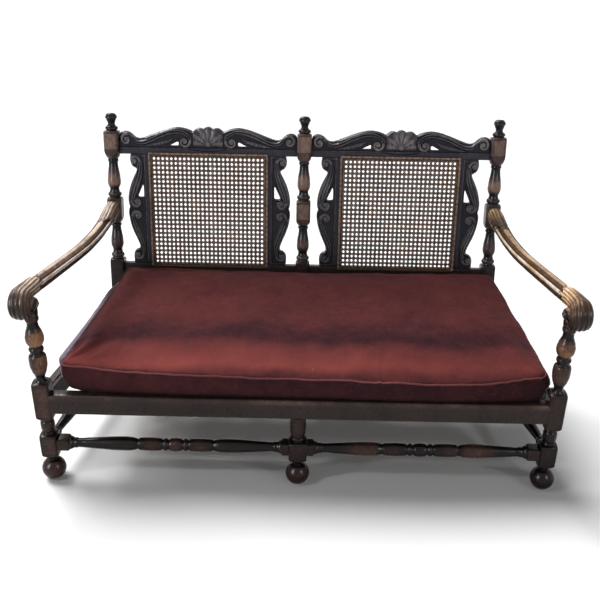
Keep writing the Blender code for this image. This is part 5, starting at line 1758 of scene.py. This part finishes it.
def world():
    w = bpy.data.worlds.new("soft_world")
    bpy.context.scene.world = w
    w.use_nodes = True
    tree = w.node_tree
    feeds(tree, tree.nodes["Background"], Color=(1, 1, 1),
          Strength=ranged(tree, seen_directly(tree), 0.0, 1.0, WORLD_LIGHT, 1.0))


def lamp(name, kind, energy, place, target_height, **values):
    light = bpy.data.lights.new(name, kind)
    light.energy = energy
    for key, value in values.items():
        setattr(light, key, value)
    obj = put(name, light)
    obj.location = place
    obj.rotation_euler = (Vector((0, 0, target_height)) - Vector(place)).to_track_quat("-Z", "Y").to_euler()
    return obj


def area_lamp(name, energy, place, target_height, size, size_y, **values):
    return lamp(name, "AREA", energy, place, target_height, shape="RECTANGLE", size=size, size_y=size_y, **values)


def lights():
    lamp("soft_key", "SUN", 3.85, (-0.42, 0.36, 0.85), 0, angle=math.radians(34))
    windows = (area_lamp("window_left", 150, (-2.7, -2.3, 1.7), 0.5, 0.9, 1.7, color=(0.86, 0.92, 1.0)),
               area_lamp("window_right", 44, (2.5, -2.6, 1.9), 0.5, 0.6, 1.2, color=(1.0, 0.96, 0.92)))
    for window in windows:  # they are only mirrored in the polish
        window.visible_diffuse = False
    area_lamp("front_left", 14, (-2.2, -1.5, 2.3), 0.4, 0.22, 0.42)
    area_lamp("front_right", 7, (2.2, -2.0, 2.0), 0.4, 0.18, 0.32)
    area_lamp("back_left", 22, (-1.5, 1.9, 2.5), 0.4, 0.32, 0.5)


def camera():
    data = bpy.data.cameras.new("camera")
    data.lens = 48
    data.sensor_width = 36
    obj = put("camera", data)
    yaw, pitch, roll = (math.radians(a) for a in CAMERA_TURN)
    right = Vector((math.cos(yaw), math.sin(yaw), 0))
    up = Vector((-math.sin(yaw) * math.sin(pitch), math.cos(yaw) * math.sin(pitch), math.cos(pitch)))
    ahead = Vector((-math.sin(yaw) * math.cos(pitch), math.cos(yaw) * math.cos(pitch), -math.sin(pitch)))
    x = math.cos(roll) * right + math.sin(roll) * up
    y = math.cos(roll) * up - math.sin(roll) * right
    obj.matrix_world = Matrix.Translation(CAMERA_PLACE) @ Matrix((x, y, -ahead)).transposed().to_4x4()
    bpy.context.scene.camera = obj


# The settee

camera()
world()
floor()
lights()

turned_wood = wood("turned_wood", (0.0095, 0.007, 0.008), (0.08, 0.04, 0.029), (0.32, 0.16, 0.085), 1.25)
stile_wood = wood("stile_wood", (0.011, 0.0095, 0.0125), (0.092, 0.06, 0.054), (0.29, 0.19, 0.15), 1.2)
# carved_wood's dark and mid colours are tinted blue-grey, a painted reflection of the sky in the polish over the dark
# stain
carved_wood = wood("carved_wood", (0.021, 0.021, 0.032), (0.09, 0.084, 0.102), (0.25, 0.22, 0.215))
rail_wood = wood("rail_wood", (0.014, 0.01, 0.009), (0.064, 0.037, 0.03), (0.15, 0.115, 0.09), shine=0.27)
plain_wood = wood("plain_wood", (0.02, 0.012, 0.008), (0.06, 0.036, 0.022), (0.11, 0.066, 0.04), 0.8, 0.5)
# the left arm's colours are paler than the right's, partly a painted reflection on its polish; each arm's last pale
# colour is partly a painted highlight
arm_woods = {
    "left": wood("arm_wood_left", (0.012, 0.009, 0.009), (0.18, 0.11, 0.078), (0.7, 0.54, 0.415), shine=0.21,
                 bare_and_gleam=(0.94, 0.89, 0.84)),
    "right": wood("arm_wood_right", (0.012, 0.009, 0.008), (0.15, 0.08, 0.042), (0.61, 0.385, 0.195), shine=0.21,
                  bare_and_gleam=(0.86, 0.76, 0.66)),
}
wood("board_back", (0.024, 0.02, 0.02), (0.058, 0.043, 0.038), (0.12, 0.09, 0.078), shine=0.45)
cane = cane_material()
velvet = velvet_material("red_velvet", (0.0255, 0.006, 0.009), (0.25, 0.053, 0.045), (0.3, 0.1, 0.09))
bloom = velvet_material("red_velvet_end", (0.0255, 0.007, 0.011), (0.25, 0.06, 0.06), (0.3, 0.12, 0.12), 0.9)
piping = velvet_material("piping_cloth", (0.018, 0.006, 0.008), (0.33, 0.1, 0.098), (0.45, 0.2, 0.19))
jute = jute_material()

for side, label in SIDES:
    front_post(side, label, turned_wood)
middle_leg(turned_wood)
# each stile's gain of wear and painted highlight: the middle one painted lightest, the left lighter than the right
for x, label, most in ((-STILE_X, "left", 1.05), (0, "middle", 1.35), (STILE_X, "right", 0.95)):
    stile(x, label, most, stile_wood)
stretchers(turned_wood)
rails(rail_wood, plain_wood)
for side, label in SIDES:
    crest(side, label, carved_wood)
    for way in (-1, 1):
        slat(side, way, label, carved_wood)
    cane_panel(side, label, cane)
    arm(side, label, arm_woods[label])
webbing(jute)
build_cushion(velvet, piping, bloom)

bpy.context.scene.view_settings.view_transform = "Standard"
